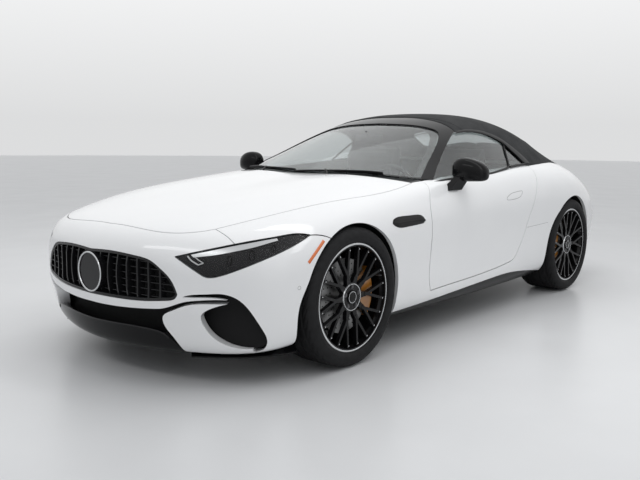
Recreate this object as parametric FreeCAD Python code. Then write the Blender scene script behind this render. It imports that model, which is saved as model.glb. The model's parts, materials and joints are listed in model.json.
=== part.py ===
import FreeCAD, Part
import math
import os
from FreeCAD import Placement, Rotation, Vector

# Two-seat soft-top roadster, roof up. Millimetres. +X is the car's left, the nose points to -Y,
# +Z is up, and the origin lies on the ground below the middle of the car's box.

doc = FreeCAD.newDocument("Roadster")
sheet = doc.addObject("Spreadsheet::Sheet", "Sizes")

SIZES = {
    # overall
    "overall_length": 4704,
    "body_width": 1917,
    "body_height": 1353,
    "underside_height": 130,
    # shells and gaps
    "skin_wall": 22,
    "shut_gap": 5,
    "seat_clearance": 0.3,
    "glass_wall": 5,
    "glass_setback": 9,
    "roof_wall": 26,
    "sheet_wall": 4,
    # wheels
    "wheelbase": 2700,
    "front_axle_offset": 1412,
    "front_tyre_radius": 363,
    "rear_tyre_radius": 360,
    "front_tyre_width": 275,
    "rear_tyre_width": 305,
    "front_tyre_face": 938,
    "rear_tyre_face": 942,
    "rim_radius": 281,
    "rim_setback": 16,
    "hub_setback": 30,
    "hub_radius": 76,
    "spoke_pairs": 10,
    "spoke_offset": 38,
    "disc_radius": 195,
    "disc_wall": 30,
    "disc_setback": 86,
    "front_arch_radius": 383,
    "rear_arch_radius": 385,
    "liner_clearance": 10,
    "well_depth": 455,
    "pocket_depth": 790,
    "kingpin_track": 780,
    "lower_joint_height": 190,
    "upper_joint_height": 540,
    "ball_radius": 20,
    "front_arm_spread": 120,
    "rear_arm_spread": 190,
    # cabin
    "floor_height": 156,
    "jack_pad_height": 138,
    "floor_wall": 18,
    "firewall_place": 880,
    "cabin_half_width": 784,
    "cabin_rear": 884,
    "tunnel_half_width": 108,
    "seat_place": 370,
    "seat_width": 500,
    "wheel_ring_radius": 180,
    "wheel_ring_tube": 15,
    # grille
    "slat_pitch": 66,
    "slat_width": 9,
    "slat_depth": 45,
    "bar_height": 3,
    "disc_badge_radius": 101,
}

for row, (alias, number) in enumerate(SIZES.items(), start=1):
    sheet.set("A" + str(row), alias)
    sheet.set("B" + str(row), str(number))
    sheet.setAlias("B" + str(row), alias)
doc.recompute()


def size(alias):
    return float(sheet.get(alias))


GAP = size("shut_gap")
SEAT = size("seat_clearance")
FIREWALL = -size("firewall_place")
WALL = size("skin_wall")
FRONT_AXLE = -size("front_axle_offset")
REAR_AXLE = FRONT_AXLE + size("wheelbase")
FAR = 3000.0
SIDES = (1, -1)
OFFSET_POINTS = 20


# Helpers for plain shapes

def box(low, high):
    """A block between two corners."""
    corner = Vector(*low)
    span = Vector(*high) - corner
    return Part.makeBox(span.x, span.y, span.z, corner)


def rod(start, end, radius):
    """A round bar between two points."""
    start = Vector(*start)
    span = Vector(*end) - start
    return Part.makeCylinder(radius, span.Length, start, span)


def mirrored(shape):
    """The same shape on the car's other side."""
    return shape.mirror(Vector(0, 0, 0), Vector(1, 0, 0))


def both_sides(shape):
    return [shape, mirrored(shape)]


def fused(shapes):
    """One shape from several that overlap or touch."""
    shapes = list(shapes)
    if len(shapes) == 1:
        return shapes[0]
    return shapes[0].fuse(shapes[1:]).removeSplitter()


def gathered(shapes):
    """Several solids in one sub-part."""
    solids = []
    for shape in shapes:
        solids.extend(shape.Solids)
    return Part.Compound(solids)


NODES = []


def sub_part(label, shape, place=None):
    """Keep a finished shape as a document object with its own label."""
    item = doc.addObject("Part::Feature", label)
    item.Label = label
    solids = shape.Solids
    item.Shape = solids[0] if len(solids) == 1 else Part.Compound(solids)
    item.Placement = place or Placement()
    NODES.append(item)
    return item


# Outlines: closed wires from straight runs and smooth curves

def wire_through(runs):
    """A closed wire. A run of two points is straight, a longer one is a smooth curve."""
    edges = []
    for run in runs:
        if len(run) == 2:
            edges.append(Part.LineSegment(run[0], run[1]).toShape())
        else:
            curve = Part.BSplineCurve()
            curve.interpolate(run)
            edges.append(curve.toShape())
    return Part.Wire(edges)


def closed_runs(runs):
    """Join runs end to end, adding straight ones where they don't meet."""
    joined = []
    for index, run in enumerate(runs):
        joined.append(run)
        following = runs[(index + 1) % len(runs)]
        if (run[-1] - following[0]).Length > 0.001:
            joined.append([run[-1], following[0]])
    return joined


def side_prism(runs, low, high, grow=0.0):
    """Outline drawn in side view as (y, z), pushed along X from low to high."""
    lifted = [[Vector(low, y, z) for y, z in run] for run in runs]
    return prism(lifted, Vector(high - low, 0, 0), grow)


def plan_prism(runs, low, high, grow=0.0):
    """Outline drawn in plan as (x, y), pushed along Z from low to high."""
    lifted = [[Vector(x, y, low) for x, y in run] for run in runs]
    return prism(lifted, Vector(0, 0, high - low), grow)


def slanted_prism(runs, azimuth, reach, grow=0.0):
    """Outline given by points on the skin, pushed level along a compass direction.

    Azimuth 0 looks along +Y; the points slide along that direction onto one plane.
    """
    turn = math.radians(azimuth)
    ahead = Vector(-math.sin(turn), math.cos(turn), 0)
    start = -reach / 2
    lifted = []
    for run in runs:
        points = [Vector(*point) for point in run]
        lifted.append([point + ahead * (start - point.dot(ahead)) for point in points])
    return prism(lifted, ahead * reach, grow)


def prism(runs, push, grow):
    wire = wire_through(closed_runs(runs))
    if grow:
        wire = redrawn(Part.Face(wire).makeOffset2D(grow).OuterWire)
    return Part.Face(wire).extrude(push)


def redrawn(wire):
    """The same wire with its offset curves replaced by plain smooth ones."""
    edges = []
    for edge in wire.OrderedEdges:
        if isinstance(edge.Curve, (Part.Line, Part.Circle)):
            edges.append(edge)
            continue
        curve = Part.BSplineCurve()
        curve.interpolate(edge.discretize(Number=OFFSET_POINTS))
        edges.append(curve.toShape())
    return Part.Wire(edges)


def mirrored_runs(runs):
    """Complete a half outline, given from the centre line outwards and back to it."""
    other = [[(-x, y) for x, y in reversed(run)] for run in reversed(runs)]
    return runs + other


# The body's skin and the canopy's skin: smooth surfaces over hand-set rings of poles.
# A ring is half a section, from the top centre round to the bottom centre.

DRAWN_LENGTH = 4704.0
DRAWN_WIDTH = 1917.0
DRAWN_HEIGHT = 1353.0
DRAWN_UNDERSIDE = 130.0


def stretched(point):
    """A point of the drawn skin, at the sheet's overall sizes."""
    lift = size("underside_height") - DRAWN_UNDERSIDE
    rise = (size("body_height") - size("underside_height")) / (DRAWN_HEIGHT - DRAWN_UNDERSIDE)
    return (
        point[0] * size("body_width") / DRAWN_WIDTH,
        point[1] * size("overall_length") / DRAWN_LENGTH,
        DRAWN_UNDERSIDE + lift + (point[2] - DRAWN_UNDERSIDE) * rise,
    )


def ring(station, *poles):
    """Half a ring of poles; a pole is (x, z), or (x, z, its own y)."""
    half = [(pole[0], pole[2] if len(pole) > 2 else station, pole[1]) for pole in poles]
    other = [(-x, y, z) for x, y, z in half[1:-1]]
    whole = [other[-1], half[-1]] + half[-2:0:-1] + [half[0]] + other[:-1]
    return [Vector(*stretched(pole)) for pole in whole]


BODY_RINGS = [
    ring(-2352, (0, 545), (45, 544), (80, 540), (110, 530), (125, 515), (130, 500),
         (125, 485), (110, 470), (80, 460), (45, 456), (20, 455), (0, 455)),
    ring(0, (0, 615, -2350), (200, 614, -2340), (340, 604, -2320), (450, 575, -2298),
         (505, 535, -2285), (520, 492, -2280), (510, 450, -2284), (455, 412, -2300),
         (340, 392, -2325), (200, 385, -2345), (100, 382, -2355), (0, 382, -2358)),
    ring(0, (0, 672, -2328), (250, 674, -2312), (440, 662, -2278), (590, 618, -2236),
         (652, 560, -2212), (668, 500, -2204), (660, 435, -2208), (612, 375, -2232),
         (480, 335, -2282), (320, 318, -2325), (160, 312, -2345), (0, 310, -2352)),
    ring(0, (0, 728, -2262), (300, 732, -2240), (540, 722, -2185), (710, 680, -2125),
         (782, 615, -2090), (803, 540, -2078), (806, 450, -2078), (795, 330, -2088),
         (768, 208, -2105), (648, 168, -2182), (330, 165, -2300), (0, 162, -2335)),
    ring(0, (0, 760, -2155), (330, 766, -2130), (620, 752, -2060), (790, 708, -1990),
         (862, 645, -1950), (886, 560, -1936), (892, 460, -1932), (890, 350, -1934),
         (884, 225, -1940), (858, 148, -1948), (430, 136, -2180), (0, 138, -2290)),
    ring(0, (0, 792, -1985), (345, 804, -1955), (635, 792, -1890), (825, 752, -1825),
         (898, 690, -1795), (926, 605, -1784), (934, 500, -1780), (936, 380, -1780),
         (928, 260, -1782), (890, 165, -1790), (450, 135, -1950), (0, 135, -2080)),
    ring(0, (0, 828, -1780), (352, 845, -1755), (622, 832, -1705), (830, 800, -1655),
         (912, 742, -1630), (946, 660, -1620), (957, 545, -1617), (958, 420, -1617),
         (946, 280, -1620), (895, 160, -1625), (450, 130, -1720), (0, 130, -1800)),
    ring(-1420, (0, 874), (352, 894), (600, 878), (802, 846), (905, 795), (950, 715),
         (962, 600), (960, 450), (945, 300), (890, 150), (450, 130), (0, 130)),
    ring(-1160, (0, 903), (350, 925), (590, 908), (800, 872), (893, 815), (934, 730),
         (947, 620), (938, 450), (930, 300), (888, 150), (450, 130), (0, 130)),
    ring(-900, (0, 932), (350, 952), (600, 934), (800, 897), (880, 848), (918, 760),
         (932, 640), (918, 460), (918, 300), (883, 145), (450, 130), (0, 130)),
    ring(-600, (0, 962), (350, 975), (620, 955), (806, 922), (876, 882), (910, 790),
         (926, 660), (903, 470), (913, 285), (880, 140), (450, 130), (0, 130)),
    ring(-250, (0, 985), (350, 992), (630, 975), (806, 942), (872, 900), (905, 810),
         (922, 680), (897, 480), (915, 280), (880, 135), (450, 130), (0, 130)),
    ring(100, (0, 1000), (350, 1002), (630, 990), (804, 962), (868, 920), (903, 825),
         (921, 700), (897, 500), (918, 285), (880, 135), (450, 130), (0, 130)),
    ring(450, (0, 1010), (350, 1012), (620, 1002), (798, 982), (868, 940), (908, 850),
         (928, 715), (905, 520), (925, 300), (885, 140), (450, 130), (0, 130)),
    ring(750, (0, 1015), (350, 1017), (610, 1012), (782, 1000), (868, 955), (922, 870),
         (940, 720), (925, 540), (935, 320), (888, 145), (450, 130), (0, 130)),
    ring(1030, (0, 1016), (350, 1018), (600, 1018), (765, 1010), (865, 962), (938, 880),
         (954, 720), (948, 540), (948, 330), (890, 150), (450, 130), (0, 130)),
    ring(1288, (0, 1010), (350, 1013), (585, 1015), (742, 1008), (856, 956), (944, 875),
         (963, 720), (962, 540), (954, 330), (888, 155), (450, 135), (0, 135)),
    ring(1550, (0, 992), (345, 994), (560, 990), (692, 975), (800, 920), (894, 845),
         (936, 710), (940, 540), (928, 340), (870, 170), (450, 150), (0, 150)),
    ring(1780, (0, 967), (335, 965), (525, 955), (650, 930), (748, 870), (838, 795),
         (890, 700), (904, 540), (888, 350), (838, 200), (430, 180), (0, 180)),
    ring(0, (0, 940, 2000), (315, 936, 1995), (490, 922, 1985), (608, 888, 1972),
         (702, 829, 1955), (788, 759, 1938), (843, 668, 1928), (861, 540, 1925),
         (845, 380, 1932), (790, 240, 1945), (400, 205, 1980), (0, 205, 2000)),
    ring(0, (0, 918, 2160), (295, 913, 2152), (460, 895, 2132), (580, 862, 2105),
         (678, 806, 2080), (768, 738, 2058), (812, 640, 2046), (822, 520, 2045),
         (798, 390, 2052), (730, 270, 2070), (380, 225, 2120), (0, 215, 2150)),
    ring(0, (0, 880, 2262), (275, 875, 2252), (425, 858, 2235), (535, 825, 2210),
         (625, 772, 2188), (700, 708, 2176), (738, 620, 2176), (744, 510, 2180),
         (715, 400, 2188), (645, 300, 2205), (340, 260, 2250), (0, 250, 2270)),
    ring(0, (0, 800, 2315), (225, 795, 2308), (345, 780, 2294), (435, 750, 2280),
         (508, 710, 2270), (560, 660, 2266), (586, 590, 2268), (585, 515, 2273),
         (560, 430, 2280), (495, 362, 2292), (260, 330, 2322), (0, 325, 2338)),
    ring(2352, (0, 650), (60, 648), (100, 642), (130, 630), (148, 612), (155, 592),
         (150, 570), (132, 550), (105, 538), (65, 532), (30, 530), (0, 530)),
]

CANOPY_RINGS = [
    ring(-1000, (0, 880), (250, 875), (480, 862), (655, 845), (765, 825), (822, 800),
         (840, 770), (840, 700), (400, 690), (0, 690)),
    ring(-830, (0, 953), (260, 946), (495, 926), (668, 897), (778, 869), (834, 840),
         (860, 800), (860, 700), (400, 690), (0, 690)),
    ring(-600, (0, 1046), (260, 1038), (495, 1012), (678, 968), (800, 917), (855, 870),
         (880, 820), (880, 700), (400, 690), (0, 690)),
    ring(-350, (0, 1144), (260, 1135), (486, 1107), (655, 1052), (774, 977), (846, 905),
         (887, 840), (890, 700), (400, 690), (0, 690)),
    ring(-120, (0, 1230), (255, 1222), (471, 1194), (630, 1140), (738, 1047), (824, 950),
         (882, 870), (892, 700), (400, 690), (0, 690)),
    ring(100, (0, 1303), (250, 1295), (455, 1268), (602, 1210), (702, 1110), (799, 1000),
         (870, 900), (890, 700), (400, 690), (0, 690)),
    ring(320, (0, 1349), (250, 1343), (447, 1316), (590, 1256), (688, 1145), (787, 1025),
         (862, 915), (886, 700), (400, 690), (0, 690)),
    ring(550, (0, 1360), (250, 1354), (447, 1327), (591, 1262), (688, 1148), (780, 1030),
         (852, 930), (880, 720), (400, 710), (0, 710)),
    ring(800, (0, 1334), (250, 1328), (451, 1302), (598, 1239), (692, 1137), (772, 1035),
         (838, 950), (870, 750), (400, 740), (0, 740)),
    ring(1050, (0, 1276), (245, 1272), (440, 1249), (588, 1191), (682, 1106), (755, 1035),
         (815, 970), (850, 800), (400, 780), (0, 780)),
    ring(1280, (0, 1197), (240, 1194), (425, 1173), (565, 1122), (652, 1062), (725, 1018),
         (780, 970), (820, 830), (400, 800), (0, 800)),
    ring(1500, (0, 1098), (235, 1096), (405, 1081), (535, 1048), (620, 1013), (685, 985),
         (740, 955), (780, 850), (400, 820), (0, 820)),
    ring(1700, (0, 985), (235, 983), (400, 975), (525, 960), (605, 945), (665, 930),
         (710, 915), (740, 850), (400, 830), (0, 830)),
]


def inset(rings, depth):
    """The same rings moved inwards, square to the net of poles."""
    last = len(rings) - 1
    moved = []
    for row, poles in enumerate(rings):
        ahead = rings[min(row + 1, last)]
        behind = rings[max(row - 1, 0)]
        line = []
        for column, pole in enumerate(poles):
            along = ahead[column] - behind[column]
            around = poles[(column + 1) % len(poles)] - poles[column - 1]
            normal = along.cross(around)
            normal.normalize()
            line.append(pole - normal * depth)
        if row == 0:
            line = [Vector(pole.x, poles[0].y + depth, pole.z) for pole in line]
        if row == last:
            line = [Vector(pole.x, poles[0].y - depth, pole.z) for pole in line]
        moved.append(line)
    return moved


def skin_solid(rings):
    """A closed solid over the rings: cubic along the car, cubic and closed around it."""
    degree = 3
    rows = len(rings)
    columns = len(rings[0])
    surface = Part.BSplineSurface()
    along_knots = [float(knot) for knot in range(rows - degree + 1)]
    along_counts = [degree + 1] + [1] * (len(along_knots) - 2) + [degree + 1]
    around_knots = [float(knot) for knot in range(columns + 1)]
    around_counts = [1] * len(around_knots)
    surface.buildFromPolesMultsKnots(
        rings, along_counts, around_counts, along_knots, around_knots, False, True, degree, degree
    )
    faces = []
    for start in (0, columns // 2):
        half = surface.copy()
        half.segment(0, along_knots[-1], start, start + columns // 2)
        faces.append(half.toShape())
    rims = [edge for face in faces for edge in face.Edges if edge.BoundBox.YLength < 1]
    for front in (True, False):
        ends = [edge for edge in rims if (edge.BoundBox.YMax < 0) == front]
        faces.append(Part.Face(Part.Wire(ends)))
    shell = Part.Compound(faces)
    shell.sewShape()
    solid = Part.Solid(shell.Shells[0])
    if solid.Volume < 0:
        solid.reverse()
    return solid


body = skin_solid(BODY_RINGS)
body_inner = skin_solid(inset(BODY_RINGS, WALL))
canopy = skin_solid(CANOPY_RINGS)
roof_inner = skin_solid(inset(CANOPY_RINGS, size("roof_wall")))
glass_outer = skin_solid(inset(CANOPY_RINGS, size("glass_setback")))
glass_inner = skin_solid(inset(CANOPY_RINGS, size("glass_setback") + size("glass_wall")))


# Outlines of the panels. Side outlines are (y, z), plan outlines are (x, y).

HOOD_OUTLINE = mirrored_runs([
    [(0, -2225), (263, -2222), (478, -2176), (560, -2116), (608, -2045)],
    [(608, -2045), (700, -1760), (768, -1400), (802, -1100), (804, -942), (777, -712)],
    [(777, -712), (650, -778), (400, -832), (0, -852)],
])
DOOR_OUTLINE = [
    [(-596, 1200), (-600, 925), (-650, 868), (-692, 800), (-694, 700), (-690, 469), (-694, 379), (-668, 288)],
    [(-668, 288), (-185, 304), (191, 328), (330, 344)],
    [(330, 344), (398, 378), (429, 416)],
    [(429, 416), (518, 530), (562, 625), (619, 727), (655, 799), (735, 980), (790, 1200)],
]
CABIN_OUTLINE = mirrored_runs([
    [(0, -852), (400, -832), (650, -778), (777, -712)],
    [(777, -712), (784, -600), (784, 700)],
    [(784, 700), (768, 900), (712, 1216), (618, 1440), (420, 1580), (0, 1640)],
])
BOOT_OUTLINE = mirrored_runs([
    [(0, 1730), (300, 1722), (520, 1702), (630, 1668)],
    [(630, 1668), (640, 1760), (636, 1900), (600, 2080), (560, 2230), (556, 2420)],
    [(556, 2420), (0, 2420)],
])
BOOT_LOW = 645.0
HOOD_LOW = 600.0
FENDER_OUTLINE = [
    [(-2060, 1100), (-2060, 640)],
    [(-2060, 640), (-1900, 676), (-1726, 713), (-1613, 691), (-1560, 640)],
    [(-1560, 640), (-1500, 560), (-1412, 0)],
    [(-1412, 0), (-600, 0)],
    [(-600, 0), (-600, 1100)],
]
SILL_LINE = [(-1060, 212), (-690, 222), (-308, 240), (52, 256), (335, 262), (555, 246), (960, 190)]
REAR_BUMPER_OUTLINE = [
    [(1560, 0), (1600, 470)],
    [(1600, 470), (1760, 560), (1930, 640)],
    [(1930, 640), (2400, 640)],
    [(2400, 640), (2400, 0)],
]
LAMP_POINTS = [
    [(535, -2243, 626), (665, -2191, 546)],
    [(665, -2191, 546), (688, -2175, 540), (728, -2141, 549), (783, -2081, 576), (831, -2004, 608),
     (883, -1844, 665), (894, -1725, 711)],
    [(894, -1725, 711), (864, -1788, 720), (834, -1868, 713), (768, -2012, 694), (681, -2133, 668),
     (608, -2196, 647), (535, -2243, 626)],
]
LAMP_AZIMUTH = 45.0
TAIL_POINTS = [
    [(575, 2255, 702), (700, 2180, 688), (800, 2060, 690), (872, 1930, 716), (905, 1830, 752)],
    [(905, 1830, 752), (860, 1930, 774), (770, 2070, 778), (660, 2180, 772), (575, 2250, 762)],
]
TAIL_AZIMUTH = 135.0
GRILLE_POINTS = mirrored_runs([
    [(0, 620), (170, 626), (337, 616), (406, 604), (473, 566), (522, 523), (546, 481), (556, 455)],
    [(556, 455), (541, 432), (498, 420), (407, 409), (230, 400), (0, 398)],
])
LOWER_INTAKE = mirrored_runs([
    [(0, 360), (189, 361), (348, 369), (443, 377)],
    [(443, 377), (505, 340)],
    [(505, 340), (540, 206)],
    [(540, 206), (545, 100)],
    [(545, 100), (0, 100)],
])
SPLITTER_OUTLINE = mirrored_runs([
    [(0, 268), (146, 271), (290, 273), (400, 269), (454, 258), (505, 212), (530, 168)],
    [(530, 168), (900, 168)],
    [(900, 168), (900, 100)],
    [(900, 100), (0, 100)],
])
CORNER_INTAKE = [
    [(579, -2242, 445), (610, -2227, 456), (675, -2186, 463), (734, -2139, 465), (786, -2084, 436),
     (822, -2036, 369), (844, -1994, 295), (846, -1962, 225), (826, -1958, 197), (777, -1990, 180),
     (700, -2060, 176)],
    [(700, -2060, 176), (640, -2100, 260)],
    [(640, -2100, 260), (650, -2180, 400)],
    [(650, -2180, 400), (749, -2123, 437)],
    [(749, -2123, 437), (710, -2158, 445), (649, -2203, 446), (579, -2242, 445)],
]
BLADE_ROOM = [
    [(443, -2287, 377), (496, -2271, 388), (531, -2260, 401), (579, -2241, 420), (649, -2205, 433),
     (710, -2158, 438), (760, -2112, 436)],
    [(760, -2112, 436), (775, -2095, 400)],
    [(775, -2095, 400), (700, -2060, 200)],
    [(700, -2060, 200), (530, -2160, 170)],
    [(530, -2160, 170), (443, -2287, 377)],
]
BLADE = [
    [(750, -2127, 418), (674, -2184, 417), (607, -2225, 409), (578, -2239, 400), (519, -2260, 373),
     (472, -2272, 341), (468, -2268, 316), (500, -2239, 248), (518, -2214, 206), (530, -2148, 100)],
    [(530, -2148, 100), (800, -1990, 100)],
    [(800, -1990, 100), (800, -2010, 198)],
    [(800, -2010, 198), (720, -2106, 221), (687, -2143, 249), (653, -2178, 308), (648, -2192, 358),
     (680, -2170, 392), (750, -2127, 418)],
]
INTAKE_AZIMUTH = 35.0
# The wheel openings below the axle, as (y, z) from the wheel's centre
FRONT_POCKET = [
    [(-300, 230), (-345, 160), (-384, 88), (-408, 33), (-420, -65), (-424, -420)],
    [(-424, -420), (378, -420)],
    [(378, -420), (378, 0)],
    [(378, 0), (-300, 230)],
]
REAR_POCKET = [
    [(-250, 290), (-350, 205), (-418, 80), (-440, -60), (-447, -420)],
    [(-447, -420), (380, -420)],
    [(380, -420), (380, 0)],
    [(380, 0), (-250, 290)],
]


def front_prism(runs, low, high, grow=0.0):
    """Outline drawn in front view as (x, z), pushed along Y from low to high."""
    lifted = [[Vector(x, low, z) for x, z in run] for run in runs]
    return prism(lifted, Vector(0, high - low, 0), grow)


def wheel_room(axle, height, radius, pocket, grow=0.0):
    """The open space of the left wheel: round, with a pocket behind the skin below the axle."""
    outer = size("body_width") / 2 + 60
    deep = size("well_depth") - grow
    round_room = rod((deep, axle, height), (outer, axle, height), radius + grow)
    runs = [[(axle + y, height + z) for y, z in run] for run in pocket]
    return round_room.fuse(side_prism(runs, size("pocket_depth") - grow, outer, grow))


front_height = size("front_tyre_radius")
rear_height = size("rear_tyre_radius")
FRONT_WELL = (FRONT_AXLE, front_height, size("front_arch_radius"), FRONT_POCKET)
REAR_WELL = (REAR_AXLE, rear_height, size("rear_arch_radius"), REAR_POCKET)
wheel_rooms = both_sides(wheel_room(*FRONT_WELL)) + both_sides(wheel_room(*REAR_WELL))

hood_cutter = plan_prism(HOOD_OUTLINE, HOOD_LOW, FAR)
hood_space = plan_prism(HOOD_OUTLINE, HOOD_LOW - GAP, FAR, GAP)
boot_cutter = plan_prism(BOOT_OUTLINE, BOOT_LOW, FAR)
boot_space = plan_prism(BOOT_OUTLINE, BOOT_LOW - GAP, FAR, GAP)
cabin_space = plan_prism(CABIN_OUTLINE, 500, FAR)
door_cutter = side_prism(DOOR_OUTLINE, size("cabin_half_width"), 1000)
door_space = side_prism(DOOR_OUTLINE, size("cabin_half_width") - 60, 1000, GAP)
lamp_cutter = slanted_prism(LAMP_POINTS, LAMP_AZIMUTH, 6000)
lamp_space = slanted_prism(LAMP_POINTS, LAMP_AZIMUTH, 6000, GAP * 0.6)
tail_cutter = slanted_prism(TAIL_POINTS, TAIL_AZIMUTH, 6000)
tail_space = slanted_prism(TAIL_POINTS, TAIL_AZIMUTH, 6000, GAP * 0.6)
left_front = box((200, -3000, 0), (1200, 0, 1400))
left_rear = box((200, 0, 0), (1200, 3000, 1400))

lamp_cutter = lamp_cutter.common(left_front)
lamp_space = lamp_space.common(left_front)
tail_cutter = tail_cutter.common(left_rear)
tail_space = tail_space.common(left_rear)

wall_body = body.cut(body_inner)
arched = wall_body.cut(wheel_rooms)

# Main regions of the skin
fender_cutter = side_prism(FENDER_OUTLINE, -1100, 1100)
fender_gap_cutter = side_prism(FENDER_OUTLINE, -1100, 1100, GAP)
skirt_runs = [SILL_LINE, [(960, 190), (960, 0)], [(960, 0), (-1060, 0)], [(-1060, 0), (-1060, 212)]]
skirt_cutter = side_prism(skirt_runs, -1100, 1100)
skirt_space = side_prism(skirt_runs, -1100, 1100, 1.0)
rear_cutter = side_prism(REAR_BUMPER_OUTLINE, -1100, 1100)
rear_space = side_prism(REAR_BUMPER_OUTLINE, -1100, 1100, GAP * 0.6)

corner_intake = slanted_prism(CORNER_INTAKE, INTAKE_AZIMUTH, 6000).common(left_front)
blade_room = slanted_prism(BLADE_ROOM, INTAKE_AZIMUTH, 6000).common(left_front)
blade_cutter = slanted_prism(BLADE, INTAKE_AZIMUTH, 6000).common(left_front)
lower_intake = front_prism(LOWER_INTAKE, -3000, FRONT_AXLE)
splitter_zone = front_prism(SPLITTER_OUTLINE, -3000, FRONT_AXLE)
grille_space = front_prism(GRILLE_POINTS, -3000, FRONT_AXLE)


def hood():
    return body.common(hood_cutter).cut(body_inner)


def boot_lid():
    return body.common(boot_cutter).cut(body_inner)


def doors():
    left = body.common(door_cutter)
    outer = skin_solid(inset(CANOPY_RINGS, size("glass_setback") - 3))
    inner = skin_solid(inset(CANOPY_RINGS, size("glass_setback") + size("glass_wall") + 3))
    slot = outer.common(side_prism(SIDE_GLASS, 500, 1000, 3)).cut(inner)
    return left.cut(slot)


SIDE_GLASS = [
    [(-500, 870), (-512, 918)],
    [(-512, 918), (-347, 1000), (-164, 1092), (30, 1182), (92, 1207)],
    [(92, 1207), (174, 1214), (248, 1217), (335, 1211), (422, 1196), (515, 1166), (579, 1137)],
    [(579, 1137), (449, 979), (420, 900)],
    [(420, 900), (-500, 870)],
]
QUARTER_GLASS = [
    [(583, 1134), (614, 1107), (666, 1052), (708, 998), (716, 986)],
    [(716, 986), (458, 982)],
    [(458, 982), (583, 1134)],
]
WINDSCREEN_OUTLINE = mirrored_runs([
    [(0, 24), (255, 22), (400, 22), (458, 18)],
    [(458, 18), (504, -2), (534, -42)],
    [(534, -42), (557, -81), (619, -222), (677, -383), (721, -495), (771, -614)],
    [(771, -614), (720, -690), (517, -800), (0, -860)],
])
HEADER_LINE = mirrored_runs([
    [(0, 200), (150, 196), (286, 178), (458, 146), (575, 108)],
    [(575, 108), (800, 70)],
    [(800, 70), (800, -900)],
    [(800, -900), (0, -900)],
])


def glass_shell(cutter):
    return glass_outer.common(cutter).cut(glass_inner)


def canopy_parts():
    """Windscreen, its frame, the soft top, and the side and rear windows."""
    screen_cutter = plan_prism(WINDSCREEN_OUTLINE, 800, FAR)
    screen_space = plan_prism(WINDSCREEN_OUTLINE, 800, FAR, 2.0)
    header_cutter = plan_prism(HEADER_LINE, 800, FAR)
    header_space = plan_prism(HEADER_LINE, 800, FAR, GAP * 0.6)
    raised = skin_solid(inset(BODY_RINGS, -GAP))
    moving_room = [raised.common(space) for space in both_sides(door_space) + [hood_space, boot_space]]
    above_body = canopy.cut([body] + moving_room)
    side_space = side_prism(SIDE_GLASS, 300, 1000, GAP)
    quarter_space = side_prism(QUARTER_GLASS, 300, 1000, GAP)
    side_spaces = both_sides(side_space) + both_sides(quarter_space)
    frame_shell = above_body.common(header_cutter).cut(roof_inner)
    front_frame = frame_shell.cut([screen_space] + side_spaces)
    roof = above_body.cut([roof_inner, header_space] + side_spaces)
    window_cutter = plan_prism(REAR_WINDOW, 800, FAR)
    window_space = plan_prism(REAR_WINDOW, 800, FAR, 2.0)
    roof = roof.cut(window_space)
    screen = glass_shell(screen_cutter.cut(body))
    rear_window = glass_shell(window_cutter)
    quarter_left = glass_shell(side_prism(QUARTER_GLASS, 300, 1000)).cut(moving_room[0])
    left_glass = glass_shell(side_prism(SIDE_GLASS, 300, 1000))
    return front_frame, roof, screen, rear_window, quarter_left, left_glass


REAR_WINDOW = mirrored_runs([
    [(0, 1060), (250, 1063), (400, 1085)],
    [(400, 1085), (440, 1120), (478, 1250), (490, 1350)],
    [(490, 1350), (470, 1395), (250, 1420), (0, 1424)],
])


def large(shape, smallest=20000.0):
    """The shape without the slivers that cutting leaves."""
    return gathered([solid for solid in shape.Solids if solid.Volume > smallest])


front_frame, roof, screen, rear_window, quarter_left, left_glass = canopy_parts()
sub_part("windscreen_frame", large(front_frame))
sub_part("windscreen", screen)
sub_part("soft_top", large(roof, 50000))
sub_part("rear_windows", gathered([rear_window] + both_sides(quarter_left)))
sub_part("door_glass_left", left_glass)
sub_part("door_glass_right", mirrored(left_glass))

left_door = doors()
sub_part("door_left", left_door)
sub_part("door_right", mirrored(left_door))
sub_part("hood", hood())
sub_part("boot_lid", boot_lid())

# The fixed skin, cut apart at its shut lines
shut_spaces = [hood_space, boot_space, cabin_space] + both_sides(door_space)
shut_spaces += both_sides(lamp_space) + both_sides(tail_space)
fixed_skin = arched.cut(shut_spaces)
fender_zone = fixed_skin.common(fender_cutter).cut(both_sides(skirt_space))
fender_zone = fender_zone.cut(box((-1100, -694, 0), (1100, 0, 1300)))
undertray_space = box((-790, FRONT_AXLE, 0), (790, -1060, 190)).fuse(box((-698, -1060, 0), (698, FIREWALL, 190)))
scuttle_space = box((-1100, -694, 800), (1100, -600, 1300))
scuttle = fixed_skin.common(scuttle_space)
sub_part("front_fenders", large(fused([fender_zone.cut([undertray_space, scuttle_space]), scuttle]), 50000))
nose_zone = fixed_skin.common(box((-1100, -3000, 0), (1100, FRONT_AXLE, 1300)))
nose_zone = nose_zone.cut([fender_gap_cutter, undertray_space])
deep_skin = skin_solid(inset(BODY_RINGS, 60))
front_cuts = [lower_intake, splitter_zone, grille_space] + both_sides(corner_intake) + both_sides(blade_room)
bumper = nose_zone.cut(front_cuts)
blade_reach = box((400, -2400, 0), (1000, -1960, 500))
blade = body.common(blade_cutter).common(blade_reach).cut([deep_skin, splitter_zone])
bumper = fused([bumper] + both_sides(blade))
sub_part("front_bumper", large(bumper, 50000))
lower_nose = nose_zone.common(splitter_zone).fuse(fixed_skin.common(undertray_space))
sub_part("splitter", large(lower_nose.removeSplitter(), 50000))

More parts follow.
